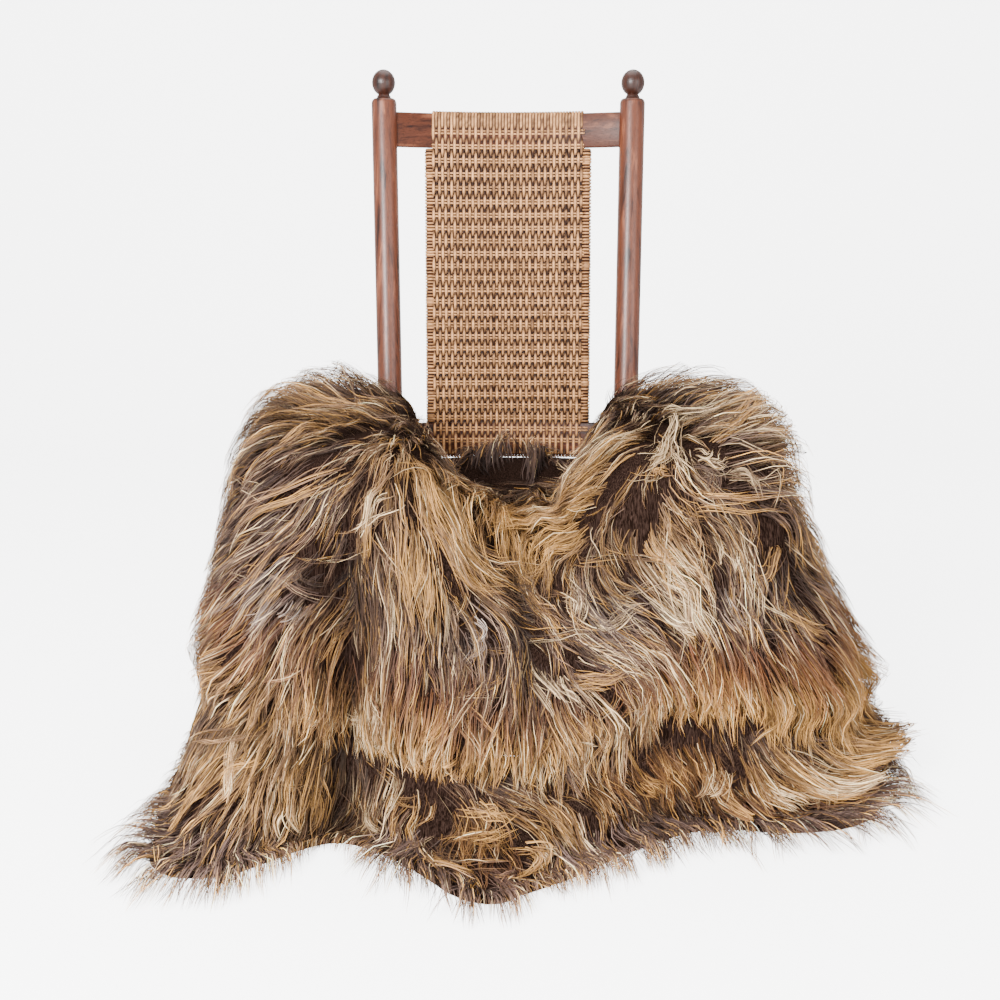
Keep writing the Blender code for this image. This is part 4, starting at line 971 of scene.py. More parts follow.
def lock_paths(form, i, j, length, draw):
    """The middle line of each lock: its places on the shell, one column for each step."""
    tangle = between(form["tangle"], i, j)[:, 0]
    stray = draw.normal(0.0, 1.0, len(i)) * (STRAY[0] + STRAY[1] * tangle)
    crosses = draw.random(len(i)) < CROSSING
    stray = stray + np.where(crosses, draw.uniform(-CROSS_TURN, CROSS_TURN, len(i)), 0.0)
    bend = draw.normal(0.0, 1.0, len(i)) * (BEND[0] + BEND[1] * tangle)
    places_i, places_j = [i], [j]
    for step in range(1, STEPS):
        around, down = between(form["round"], i, j), between(form["down"], i, j)
        normal = unit(np.cross(down, around))
        fall = np.array(FALL) - normal * (normal @ np.array(FALL))[:, None]
        ahead = unit(fall + ROW_PULL * unit(down))
        comb = between(form["comb"], i, j)
        place, row = place_at(i), j + form["first_row"]
        wander = sum(np.sin(a * place + b * row + phase) for a, b, phase in DRIFTS)
        wander = wander * (WANDER[0] + WANDER[1] * between(form["tangle"], i, j)[:, 0])
        swing = np.arctan2(comb[:, 1], comb[:, 0])
        swing = (swing + np.radians(wander + stray + bend * (step / STEPS - BEND_FROM)))[:, None]
        ahead = ahead * np.cos(swing) - np.cross(normal, ahead) * np.sin(swing)
        aa, bb = (around * around).sum(1), (down * down).sum(1)
        ab = (around * down).sum(1)
        ha, hb = (ahead * around).sum(1), (ahead * down).sum(1)
        scale = length / (STEPS - 1) / np.maximum(aa * bb - ab * ab, 1e-12)
        i = i + (ha * bb - hb * ab) * scale
        j = j + (hb * aa - ha * ab) * scale
        places_i.append(i)
        places_j.append(j)
    return np.stack(places_i, axis=1), np.stack(places_j, axis=1)


def evenly_covering(form, path_i, path_j, count, draw):
    """The numbers of the locks to keep, in rounds, each where few of those before it lie."""
    across, rows = form["hide"].shape[:2]
    area = cell_areas(form["hide"])
    i = np.clip(path_i[:, 2:] + 1, 0, across - 1.01).astype(int)
    j = np.clip(path_j[:, 2:], 0, rows - 1.01).astype(int)
    kept = np.arange(0)
    for share, power in COVER_ROUNDS:
        laid = kept if len(kept) else np.arange(len(path_i))
        seen = np.zeros(area.shape)
        np.add.at(seen, (i[laid], j[laid]), 1.0)
        for _ in range(2):
            seen = blurred(blurred(seen, 0) / 4, 1) / 4
        thin = np.clip(seen / area / (seen.sum() / area.sum()), *COVER_LIMITS)
        weight = (1 / thin[i, j]).mean(axis=1) ** power
        weight = weight * (COVER_DARK + COVER_LIGHT * form["left"][i, j, 0].min(axis=1))
        weight[kept] = 0.0
        more = draw.choice(len(weight), int(share * count), replace=False, p=weight / weight.sum())
        kept = np.append(kept, more)
    return kept


def tress_paths(form, lines, draw):
    """Locks side by side along each line of places and rows."""
    path_i, path_j = [], []
    along = np.linspace(0, 1, TRESS_STEPS)[:, None]
    for line in lines:
        smooth = catmull(line, np.linspace(0, len(line) - 1, TRESS_STEPS))
        for _ in range(TRESS_LOCKS):
            shift = draw.normal(0.0, 1.0, 2) * TRESS_SHIFT
            fan = draw.normal(0.0, 1.0, 2) * TRESS_FAN * along
            path_i.append((smooth[:, 0] + shift[0] + fan[:, 0]) * ACROSS / LAST_PLACE)
            path_j.append(smooth[:, 1] + shift[1] + fan[:, 1] - form["first_row"])
    return np.array(path_i), np.array(path_j)


def tone_of(form, place, row, height, lock, wool, draw, tone):
    """The colours of each strand's root, middle and tip, and where the tip's colour begins. The root's
    colour is painted shade, and the strands are darkened as painted shade deep in the wool and in the
    dark spots.
    """
    count = len(place)
    weight = {name: spot_sum(spots, place, row) for name, spots in form["tones"].items()}
    gold, cream, silver, dark = (weight[name] for name in ("gold", "cream", "silver", "dark"))
    colour = {name: np.array(getattr(wool, name)) for name in WOOL_TONES}
    chance = draw.random((count, 5))
    browner = BROWN_OF_LOCK * lock[:, :1] + BROWN_OF_STRAND * chance[:, :1]
    middle = mix(colour["mauve"], colour["brown"], browner)
    for band, reach in BANDS:
        share = np.clip(weight[band] * (BAND_LEAST + BAND_SPREAD * chance[:, 1]), 0, 1)[:, None]
        middle = mix(middle, colour[band], reach * share)
    pale = PALE_LEAST + PALE_OF_LOCK * lock[:, 1] + PALE_GOLD * gold + PALE_CREAM * cream
    pale = pale + PALE_SILVER * silver + PALE_HIGH * (height - PALE_FROM) - PALE_DARK * dark
    is_pale = (chance[:, 2] < pale)[:, None]
    is_cream = (chance[:, 3] < CREAM_USUAL + CREAM_CREAM * cream - CREAM_GOLD * gold)[:, None]
    lit = mix(LIT * middle, colour["gold"], LIT_GOLD)
    tip = np.where(is_pale, np.where(is_cream, colour["cream"], colour["gold"]), lit)
    begin = np.where(is_pale[:, 0], PALE_BEGINS + PALE_VARIES * chance[:, 4], LIT_BEGINS)
    begin = mix(begin, RUST_BEGINS, np.clip(weight["rust"], 0, 1))
    if tone:
        amount = np.where(chance[:, 2:3] < TRESS_SHARE[tone], 1.0, TRESS_REST)
        middle = mix(middle, colour[tone], TRESS_MIDDLE * amount)
        tip = mix(tip, colour[tone], TRESS_TIP * amount)
        begin = TRESS_BEGINS + TRESS_VARIES * chance[:, 4]
    bright = draw.normal(1.0, BRIGHT_SPREAD, (count, 1)).clip(*BRIGHT_LIMITS)
    bright = bright * (BRIGHT_LEAST + BRIGHT_OF_LOCK * lock[:, 2:3])
    # painted shade: strands that lie deeper in the wool are darker
    bright = bright * (BRIGHT_LOW + BRIGHT_HIGH * height[:, None] ** BRIGHT_POWER)
    rim = sum(amount * rising(row, start, span) for amount, start, span in RIM_LIGHT)
    bright = bright * (1 + rim)[:, None]
    # painted shade in the dark spots
    bright = bright * (1 - DARK_TAKES * dark[:, None]).clip(DARK_LEAVES, 1)
    return colour["root"] * np.ones((count, 1)), middle * bright, tip * bright, begin


def read_along(line, at):
    """Values of each lock's line, [lock, step, axis], at shares of its length for each strand."""
    at = at * (line.shape[1] - 1)
    step = np.minimum(at.astype(int), line.shape[1] - 2)
    lock = np.arange(len(line))[:, None, None]
    return mix(line[lock, step], line[lock, step + 1], (at - step)[..., None])


def wool_strands(form, path_i, path_j, length, above, wool, draw, tone=None):
    """Strands in locks: their points, the way they lie, their widths and their colours."""
    locks, each, steps = len(path_i), wool.strands, path_i.shape[1]
    share = np.linspace(0, 1, steps)
    hide, stand = between(form["hide"], path_i, path_j), between(form["stand"], path_i, path_j)
    out = unit(stand)
    middle = steps // 2 - 1
    tangle = between(form["tangle"], path_i[:, middle], path_j[:, middle])[:, None] / TANGLED

    # Points of every strand: [lock, strand, step, axis]
    start = draw.uniform(*STRAND_START, (locks, each, 1))
    end = draw.uniform(*STRAND_END, (locks, each, 1)) ** END_POWER
    reach = start + (end - start) * share
    hide, stand = read_along(hide, reach), read_along(stand, reach)
    height = np.where(
        above, draw.uniform(*ABOVE_HEIGHT, (locks, 1)), draw.uniform(*UNDER_HEIGHT, (locks, 1)),
    )
    stray = draw.normal(0.0, 1.0, (locks, each)) * np.where(above, ABOVE_STRAY, UNDER_STRAY)
    height = (height + stray).clip(*HEIGHT_LIMITS)
    lands = rising(path_j[:, -1] + form["first_row"], *LANDS)[:, None, None]
    rise = (1 - (1 - share) ** RISE) * height[..., None]
    rise = rise * (1 - LANDED * lands * share**LAND_POWER)
    points = hide + stand * rise[..., None]
    whole = (points[:, :, -1:] - points[:, :, :1]) / steps
    side = unit(np.cross(np.gradient(points, axis=2) + WHOLE_WAY * whole, out[:, None]))

    apart = draw.normal(0.0, 0.5, (1, locks, each)) * wool.lock_width
    apart = apart * (TRESS_WIDTH if tone else 1.0)
    closing = 1 - draw.uniform(*GATHER, (locks, 1, 1)) * share**GATHER_POWER
    points = points + side * (apart[0][..., None] * closing)[..., None]

    wave_long = draw.uniform(*WAVE_LONG, (locks, 1, 1)) * wool.wave_length
    wave_long = wave_long / (1 + TANGLE_SHORTER * tangle)
    wave_long = np.maximum(wave_long, SHORT_WAVE * length[:, None, None] / (steps - 1))
    phase = draw.uniform(0, 2 * math.pi, (locks, 1, 1))
    phase = phase + draw.normal(0, PHASE_SPREAD, (locks, each, 1))
    run = 2 * math.pi * share * length[:, None, None] / wave_long + phase
    wave = draw.uniform(*WAVE_OF_LOCK, (locks, 1, 1)) * draw.uniform(*WAVE_OF_STRAND, (locks, each, 1))
    wave = wool.wave * wave * share**WAVE_POWER * (1 + TANGLE_WAVIER * tangle)
    points = points + side * (wave * np.sin(run))[..., None]
    points = points + out[:, None] * (WAVE_OUT * wave * np.cos(WAVE_OUT_TURN * run))[..., None]

    loose = draw.random((locks, each, 1)) < wool.loose * (1 + TANGLE_LOOSER * tangle)
    fly = draw.normal(0.0, FLY, (2, locks, each, 1)).clip(-FLY_LIMIT, FLY_LIMIT)
    fly = fly * loose * share**2
    points = points + side * fly[0][..., None]
    points = points + out[:, None] * np.abs(fly[1])[..., None] * FLY_OUT

    points = points.reshape(-1, steps, 3)
    points[..., 2] = np.maximum(points[..., 2], FLOOR_CLEAR)
    ahead = unit(np.gradient(points, axis=1))
    side = unit(np.cross(ahead, np.repeat(out, each, axis=0)))
    roll = np.radians(draw.normal(0.0, ROLL, (len(points), 1, 1)))
    side = unit(side * np.cos(roll) + np.cross(ahead, side) * np.sin(roll))

    place = np.repeat(place_at(path_i[:, middle]), each)
    row = np.repeat(path_j[:, middle + 1] + form["first_row"], each)
    lock = np.repeat(draw.random((locks, 3)), each, axis=0)
    root, stem, tip, begin = tone_of(form, place, row, height.ravel(), lock, wool, draw, tone)
    # painted shade from the root, where the wool lies deep under the rest
    root_shade_length = np.repeat(np.where(above, ROOT_SHADE_ABOVE, ROOT_SHADE_UNDER), each, axis=0)
    to_stem = smooth_step(share[None] / root_shade_length)[..., None]
    to_tip = rising(share[None], begin[:, None], TIP_RUN)[..., None]
    colours = mix(mix(root[:, None], stem[:, None], to_stem), tip[:, None], to_tip)
    # painted shade in the creases and hollows
    shade = between(form["left"], path_i, path_j)
    colours = colours * np.repeat(SHADE * shade + SHADE_LEAST, each, axis=0)
    # painted sheen that comes and goes along each strand
    turns = np.repeat(draw.uniform(*SHEEN_TURNS, (locks, 1)), each, axis=0)
    start = np.repeat(draw.uniform(0, 1, (locks, 1)), each, axis=0)
    start = start + draw.normal(0, SHEEN_SPREAD, (len(points), 1))
    sheen = 1 + SHEEN * np.sin(2 * math.pi * (turns * share + start))
    colours = colours * sheen[..., None]
    width = wool.width * draw.uniform(*WIDTH_SPREAD, (len(points), 1))
    width = width * np.minimum(1.0, TAPER[0] - TAPER[1] * share)
    width = width * (ROOT_WIDTH + ROOT_GROWS * smooth_step(share / ROOT_RUN))
    return points, side, width, colours


def ribbons(name, points, side, width, colours, material, draw):
    """Flat strips along the strands, with two points at each step, and a pointed end."""
    count, steps = points.shape[:2]
    turn = np.array((-0.5, 0.5))
    verts = points[:, :, None] + side[:, :, None] * (width[..., None] * turn)[..., None]
    verts[:, -1] = points[:, -1:]
    # painted shade across each strand: one edge lighter, the other darker
    edge = draw.uniform(-1.0, 1.0, (count, 1)) * STRAND_SIDE_SHADE
    colours = colours[:, :, None] * (1 + 2 * edge * turn)[:, None, :, None]
    each = 2 * steps - 1
    verts, colours = (v.reshape(count, 2 * steps, 3)[:, :each] for v in (verts, colours))
    first = each * np.arange(count)[:, None, None]
    quads = first + (2 * np.arange(steps - 2)[:, None] + [0, 1, 3, 2])[None]
    ends = first + np.array([each - 3, each - 2, each - 1])
    return from_arrays(
        name, verts.reshape(-1, 3), quads.reshape(-1, 4), ends.reshape(-1, 3),
        colours.reshape(-1, 3), strand_spots(count, steps), material,
    )


def strand_spots(count, steps):
    """A place of its own on the bake map for each strand."""
    columns = int(math.ceil(math.sqrt(count)))
    cell = 1.0 / columns
    left = (np.arange(count) % columns) * cell
    low = (np.arange(count) // columns) * cell
    each = 2 * steps - 1
    u = np.tile(SPOT_ACROSS, steps)[:each] * cell
    v = np.repeat(np.linspace(*SPOT_ALONG, steps), 2)[:each] * cell
    return np.stack([left[:, None] + u, low[:, None] + v], axis=2).reshape(-1, 2)


# Materials

BALL_STAIN = (0.34, 0.32, 0.32)
STAIN_EDGE = 0.003  # half the height over which the stain comes in


def new_material(name, roughness):
    made = bpy.data.materials.new(name)
    made.use_nodes = True
    shader = made.node_tree.nodes["Principled BSDF"]
    shader.inputs["Roughness"].default_value = roughness
    return made, made.node_tree, shader


def node(tree, kind, inputs=(), **settings):
    made = tree.nodes.new(kind)
    for key, value in settings.items():
        setattr(made, key, value)
    for key, value in dict(inputs).items():
        made.inputs[key].default_value = value
    return made


def ramp(tree, source, stops):
    made = tree.nodes.new("ShaderNodeValToRGB")
    elements = made.color_ramp.elements
    while len(elements) < len(stops):
        elements.new(0.5)
    for element, (at, colour) in zip(elements, stops):
        element.position = at
        element.color = (*colour, 1.0)
    tree.links.new(source, made.inputs["Fac"])
    return made.outputs["Color"]


def object_coords(tree, scale=(1, 1, 1)):
    coords = tree.nodes.new("ShaderNodeTexCoord")
    mapping = node(tree, "ShaderNodeMapping", {"Scale": scale})
    tree.links.new(coords.outputs["Object"], mapping.inputs["Vector"])
    return mapping.outputs["Vector"]


def noise(tree, inputs, scale=(1, 1, 1)):
    made = node(tree, "ShaderNodeTexNoise", inputs)
    tree.links.new(object_coords(tree, scale), made.inputs["Vector"])
    return made.outputs["Fac"]


def multiplied(tree, first, second, factor=1.0):
    mixed = node(tree, "ShaderNodeMix", data_type="RGBA", blend_type="MULTIPLY")
    mixed.inputs["Factor"].default_value = factor
    tree.links.new(first, mixed.inputs["A"])
    tree.links.new(second, mixed.inputs["B"])
    return mixed.outputs["Result"]


def grey(value):
    return (value,) * 3


def bumped(tree, shader, height, strength, distance):
    bump = node(tree, "ShaderNodeBump", {"Strength": strength, "Distance": distance})
    tree.links.new(height, bump.inputs["Height"])
    tree.links.new(bump.outputs["Normal"], shader.inputs["Normal"])


def painted_material(name, roughness, specular):
    """A material that takes its colour from the piece's own points, with a fine mottle."""
    made, tree, shader = new_material(name, roughness)
    shader.inputs["Specular IOR Level"].default_value = specular
    tone = node(tree, "ShaderNodeAttribute", attribute_name="tone")
    spread = noise(tree, {"Scale": 260.0, "Detail": 2.0})
    mottle = ramp(tree, spread, ((0.30, grey(0.80)), (0.70, grey(1.15))))
    colour = multiplied(tree, tone.outputs["Color"], mottle)
    tree.links.new(colour, shader.inputs["Base Color"])
    return made


def wood_material(name, along, wood, dark=1.0, darker_above=None, gloss=0.30):
    """Stained oak with its grain along x, y or z: bands, streaks and fine open pores."""
    made, tree, shader = new_material(name, 0.40)
    shader.inputs["Specular IOR Level"].default_value = gloss
    shader.inputs["Coat Weight"].default_value = 0.3 * gloss
    shader.inputs["Coat Roughness"].default_value = 0.20

    def stretched(across, lengthwise):
        return tuple(lengthwise if axis == along else across for axis in "xyz")

    grain = {"Scale": 1.0, "Detail": 5.0, "Distortion": 0.6}
    bands = noise(tree, grain, stretched(95.0, 4.5))
    pores = noise(tree, {"Scale": 1.0, "Detail": 3.0}, stretched(900.0, 34.0))
    stops = ((0.32, wood.oak_dark), (0.47, wood.oak_mid), (0.56, wood.oak_mid), (0.70, wood.oak_light))
    colour = ramp(tree, bands, [(at, tuple(dark * c for c in tone)) for at, tone in stops])
    pits = ramp(tree, pores, ((0.36, grey(0.45)), (0.46, grey(1.0))))
    worn = multiplied(tree, colour, pits, 0.75)
    if darker_above:
        split = node(tree, "ShaderNodeSeparateXYZ")
        tree.links.new(object_coords(tree), split.inputs["Vector"])
        height = node(tree, "ShaderNodeMapRange", {
            "From Min": darker_above - STAIN_EDGE, "From Max": darker_above + STAIN_EDGE,
        })
        tree.links.new(split.outputs["Z"], height.inputs["Value"])
        stain = ramp(tree, height.outputs["Result"], ((0.0, grey(1.0)), (1.0, BALL_STAIN)))
        worn = multiplied(tree, worn, stain)
    tree.links.new(worn, shader.inputs["Base Color"])
    bumped(tree, shader, pits, 0.25, 0.0006)
    return made


def hide_material(wool):
    """Tanned hide: pale suede with a soft nap."""
    made, tree, shader = new_material("hide_suede", 0.92)
    shader.inputs["Sheen Weight"].default_value = 0.25
    nap = noise(tree, {"Scale": 55.0, "Detail": 6.0, "Roughness": 0.65})
    dark = tuple(0.62 * c for c in wool.suede)
    colour = ramp(tree, nap, ((0.25, dark), (0.75, tuple(wool.suede))))
    tree.links.new(colour, shader.inputs["Base Color"])
    bumped(tree, shader, nap, 0.35, 0.002)
    return made


def underwool_material(wool):
    """Dense short wool under the long strands, coloured as painted shade, darkest between its tufts."""
    made, tree, shader = new_material("underwool", 0.95)
    shader.inputs["Specular IOR Level"].default_value = 0.0
    tufts = noise(tree, {"Scale": 1.0, "Detail": 5.0, "Roughness": 0.7}, (560.0, 560.0, 42.0))
    dark = tuple(0.5 * c for c in wool.root)
    light = tuple(1.05 * c for c in wool.brown)
    tree.links.new(ramp(tree, tufts, ((0.42, dark), (0.70, light))), shader.inputs["Base Color"])
    bumped(tree, shader, tufts, 0.8, 0.006)
    return made


def seat_material(wood):
    """Cane woven over the seat: two crossing sets of flat strips."""
    made, tree, shader = new_material("seat_cane", 0.5)
    checks = node(tree, "ShaderNodeTexChecker", {
        "Scale": 110.0, "Color1": (*wood.cane_light, 1.0), "Color2": (*wood.cane_dark, 1.0),
    })
    tree.links.new(object_coords(tree), checks.inputs["Vector"])
    stain = noise(tree, {"Scale": 14.0, "Detail": 4.0})
    worn = ramp(tree, stain, ((0.35, grey(0.70)), (0.65, grey(1.0))))
    colour = multiplied(tree, checks.outputs["Color"], worn)
    tree.links.new(colour, shader.inputs["Base Color"])
    bumped(tree, shader, checks.outputs["Fac"], 0.4, 0.001)
    return made


def floor_material(stage):
    """A pale matt floor that looks a little brighter than the light on it makes it."""
    made, tree, shader = new_material("pale_floor", 0.9)
    shader.inputs["Base Color"].default_value = (*stage.floor, 1.0)
    shader.inputs["Emission Color"].default_value = (1.0, 1.0, 1.0, 1.0)
    rays = tree.nodes.new("ShaderNodeLightPath")
    glow = node(tree, "ShaderNodeMath", {1: stage.glow}, operation="MULTIPLY")
    tree.links.new(rays.outputs["Is Camera Ray"], glow.inputs[0])
    tree.links.new(glow.outputs[0], shader.inputs["Emission Strength"])
    return made


# Rug pieces


def cloth_slab(name, low, high, material):
    """A closed sheet between two grids of points."""
    cells_u, cells_v = low.shape[0] - 1, low.shape[1] - 1
    bm = bmesh.new()
    bmesh.ops.create_grid(bm, x_segments=cells_u, y_segments=cells_v, size=0.5)
    made = bmesh.ops.extrude_face_region(bm, geom=list(bm.faces))
    raised = set(new_verts(made))
    for vert in bm.verts:
        i = round((vert.co.x + 0.5) * cells_u)
        j = round((vert.co.y + 0.5) * cells_v)
        vert.co = high[i, j] if vert in raised else low[i, j]
    return from_bmesh(name, bm, material, 60.0)


def read_grid(hide, stand, share, times=2):
    """The points at a share of the wool's height, with the grid's cells split."""
    rows, columns = hide.shape[:2]
    i, j = np.meshgrid(
        np.linspace(0, rows - 1, times * (rows - 1) + 1),
        np.linspace(0, columns - 1, times * (columns - 1) + 1), indexing="ij",
    )
    points = [catmull(part.reshape(rows, -1), i[:, 0]) for part in (hide, stand)]
    points = [p.reshape(len(p), columns, 3).transpose(1, 0, 2) for p in points]
    points = [catmull(p.reshape(columns, -1), j[0]).reshape(j.shape[1], -1, 3) for p in points]
    low, up = (p.transpose(1, 0, 2) for p in points)
    return low + up * (share if np.isscalar(share) else share(i, j, rows, columns)[..., None])


def hide_pieces(form, tier, skirt, wool):
    """The hide of one tier and the underwool on it, which goes on past the hem by a skirt."""
    hide, stand = form[tier], form[tier + "_top"] - form[tier]
    skin = read_grid(hide, stand, 0.0)
    normal = facing(skin)

    def felt(i, j, rows, columns):
        rim = np.minimum(np.minimum(i, rows - 1 - i), np.minimum(j, columns - 0.5 - j))
        share = UNDERWOOL * (FELT_RIM + (1 - FELT_RIM) * smooth_step(rim / FELT_RUN))
        if skirt:
            return share
        rise = spot_sum(SWELLS_UPPER.values(), place_at(i), j)
        return np.maximum(share * (1 + FELT_SWELL * rise), REAR_FELT * (1 - smooth_step(j / REAR_ROWS)))

    face = np.maximum(skin + normal * HIDE_THICK, [-9, -9, HIDE_THICK])
    sheet = cloth_slab(tier + "_hide", skin, face, hide_material(wool))
    low = skin + normal * (HIDE_THICK + GAP)
    low[..., 2] = np.maximum(low[..., 2], HIDE_THICK + GAP)
    high = read_grid(hide, stand, felt)
    high[..., 2] = np.maximum(high[..., 2], low[..., 2] + FELT_LEAST)
    thick = ((high - low) * normal).sum(-1, keepdims=True)
    high = np.where(thick < FELT_LEAST, low + FELT_LEAST * normal, high)
    if skirt:
        place = np.linspace(0, LAST_PLACE, len(low))
        out = plan_outward(low[:, -1]) * (SKIRT * np.interp(place, *zip(*skirt)))[:, None]
        skirt_top = low[:, -1] + SKIRT_IN * out + [0, 0, SKIRT_TALL]
        high = np.concatenate([high, skirt_top[:, None]], axis=1)
        low = np.concatenate([low, (low[:, -1] + out)[:, None]], axis=1)
    under = cloth_slab(tier + "_underwool", low, high, underwool_material(wool))
    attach(under, BODY)
    return sheet, under


def wool_pieces(form, pieces, prefix, rows, length, rim, tresses, count, wool, seed):
    """The strands of one tier, in pieces side by side, and its tresses."""
    draw = np.random.default_rng(seed)
    skip = max(-form["first_row"], 0)
    i, j = scattered(form["hide"], skip, rows, int(CHOICE * count), draw)
    reach, spread = rim
    past = np.interp(place_at(i), *zip(*reach)) * draw.uniform(*spread, len(i))
    above = draw.random(len(i)) < ABOVE_SHARE
    long = draw.uniform(*LONG_SPREAD, len(i)) * length * np.where(above, ABOVE_LONG, UNDER_LONG)
    tall = np.linalg.norm(np.diff(form["hide"][:, skip : skip + rows + 1], axis=1), axis=-1)
    tall = np.interp(i + 1, np.arange(len(tall)), tall.mean(axis=1))
    slant = between(form["comb"], i, j)[:, 0].clip(LEAST_SLANT, 1.0)
    long = np.minimum(long, (rows + skip - j) * tall / slant + past)
    path_i, path_j = lock_paths(form, i, j, long, draw)
    kept = evenly_covering(form, path_i, path_j, count, draw)
    material = painted_material(prefix + "_long_wool", 0.55, 0.07)
    made, place = [], place_at(i[kept])
    for name, first, last in pieces:
        own = kept[(place >= first) & (place < last)]
        strands = wool_strands(
            form, path_i[own], path_j[own], long[own], above[own, None], wool, draw,
        )
        made.append(ribbons(f"{prefix}_wool_{name}", *strands, material, draw))
    parts = []
    for tone, lines in tresses.items():
        path_i, path_j = tress_paths(form, lines, draw)
        points = between(form["hide"], path_i, path_j)
        long = np.linalg.norm(np.diff(points, axis=1), axis=2).sum(axis=1)
        above = np.ones((len(long), 1), bool)
        parts.append(wool_strands(form, path_i, path_j, long, above, wool, draw, tone))
    strands = [np.concatenate(part) for part in zip(*parts)]
    made.append(ribbons(prefix + "_wool_tresses", *strands, material, draw))
    for obj in made:
        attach(obj, BODY)
    return made


# Chair pieces

SIDES = ((-1, "left"), (1, "right"))


def new_verts(made):
    return [v for v in made["geom"] if isinstance(v, bmesh.types.BMVert)]


def rounded(bm, edges, offset, segments):
    bmesh.ops.bevel(
        bm, geom=edges, offset=offset, segments=segments, profile=0.5, affect="EDGES", material=-1
    )


def add(bm, shape):
    mesh = bpy.data.meshes.new("shape")
    shape.to_mesh(mesh)
    shape.free()
    bm.from_mesh(mesh)
    bpy.data.meshes.remove(mesh)


def turned(bm, profile, start, end, sides=48):
    """Adds to bm a profile of (radius, height) spun about the line from start to end."""
    shape = bmesh.new()
    verts = [shape.verts.new((radius, 0.0, height)) for radius, height in profile]
    edges = [shape.edges.new(pair) for pair in zip(verts, verts[1:])]
    bmesh.ops.spin(
        shape, geom=verts + edges, cent=(0, 0, 0), axis=(0, 0, 1), dvec=(0, 0, 0),
        angle=2 * math.pi, steps=sides, use_merge=True,
    )
    bmesh.ops.remove_doubles(shape, verts=list(shape.verts), dist=1e-6)
    bmesh.ops.recalc_face_normals(shape, faces=list(shape.faces))
    turn = (Vector(end) - Vector(start)).to_track_quat("Z", "Y").to_matrix().to_4x4()
    bmesh.ops.transform(shape, matrix=Matrix.Translation(start) @ turn, verts=list(shape.verts))
    add(bm, shape)


def on_back_post(side, height):
    share = height / BACK_TOP[2]
    x = BACK_FOOT[0] + (BACK_TOP[0] - BACK_FOOT[0]) * share
    return Vector((side * x, BACK_FOOT[1] + (BACK_TOP[1] - BACK_FOOT[1]) * share, height))


def on_front_post(side, height):
    return Vector((side * FRONT_POST[0], FRONT_POST[1], height))


def back_post_profile(length):
    """The round shaft, its shoulder and neck, and the ball."""
    neck = length - POST_HEAD
    ball = [(0.0, length)]
    for step in range(1, BALL_STEPS):
        angle = math.pi * step / BALL_ROUND
        ball.append((BALL_R * math.sin(angle), length - BALL_HALF * (1 - math.cos(angle))))
    shaft = [(0.0, -0.02), (FOOT_R, -0.02), *POST_FOOT]
    neck_in = (
        (POST_R, -0.0075), (0.0221, -0.0050), (0.0208, -0.0022), (0.0186, -0.0006),
        (0.0150, 0.0), (0.0127, 0.002), (0.0121, 0.0045),
    )
    return shaft + [(radius, neck + height) for radius, height in neck_in] + ball[::-1]


def flat_foot(bm):
    geom = list(bm.verts) + list(bm.edges) + list(bm.faces)
    sliced = bmesh.ops.bisect_plane(
        bm, geom=geom, plane_co=(0, 0, 0), plane_no=(0, 0, 1), clear_inner=True
    )
    rim = [e for e in sliced["geom_cut"] if isinstance(e, bmesh.types.BMEdge)]
    bmesh.ops.edgeloop_fill(bm, edges=rim)


RODS = (
    ("seat_rail_front", ("front", -1), ("front", 1), 0.361, RAIL_R, "x"),
    ("seat_rail_back", ("back", -1), ("back", 1), 0.361, RAIL_R, "x"),
    ("seat_rail_left", ("front", -1), ("back", -1), 0.329, RAIL_R, "y"),
    ("seat_rail_right", ("front", 1), ("back", 1), 0.329, RAIL_R, "y"),
    ("rung_front", ("front", -1), ("front", 1), 0.200, RUNG_R, "x"),
    ("rung_back", ("back", -1), ("back", 1), 0.200, RUNG_R, "x"),
    ("rung_left", ("front", -1), ("back", -1), 0.160, RUNG_R, "y"),
    ("rung_right", ("front", 1), ("back", 1), 0.160, RUNG_R, "y"),
)


def rod_ends(first, last, height):
    places_of = {"front": on_front_post, "back": on_back_post}
    a = places_of[first[0]](first[1], height)
    b = places_of[last[0]](last[1], height)
    along = (b - a).normalized() * (POST_R - TENON)
    return a + along, b - along


def back_frame():
    """The leaning frame in which the slats and the cane stand upright."""
    return Matrix.Translation((0, BACK_FOOT[1], 0)) @ Matrix.Rotation(-LEAN, 4, "X")


def bow_at(x):
    return SLAT_BOW * (1 - (x / BACK_TOP[0]) ** 2)


def bowed_slat(bm, middle, cells=24):
    """A board bowed backwards, with its edges rounded over."""
    half = on_back_post(1, middle).x - POST_R + TENON
    shape = bmesh.new()
    bmesh.ops.create_grid(shape, x_segments=cells, y_segments=1, size=0.5)
    made = bmesh.ops.extrude_face_region(shape, geom=list(shape.faces))
    bmesh.ops.translate(shape, vec=(0, 0, 1), verts=new_verts(made))
    for vert in shape.verts:
        x = 2 * half * vert.co.x
        depth = SLAT_THICK * (vert.co.z - 0.5) + bow_at(x)
        vert.co = (x, depth, middle + SLAT_TALL * vert.co.y)
    bmesh.ops.recalc_face_normals(shape, faces=list(shape.faces))
    sharp = [e for e in shape.edges if e.is_manifold and e.calc_face_angle() > 1.0]
    rounded(shape, sharp, SLAT_EDGE, 3)
    bmesh.ops.transform(shape, matrix=back_frame(), verts=list(shape.verts))
    add(bm, shape)


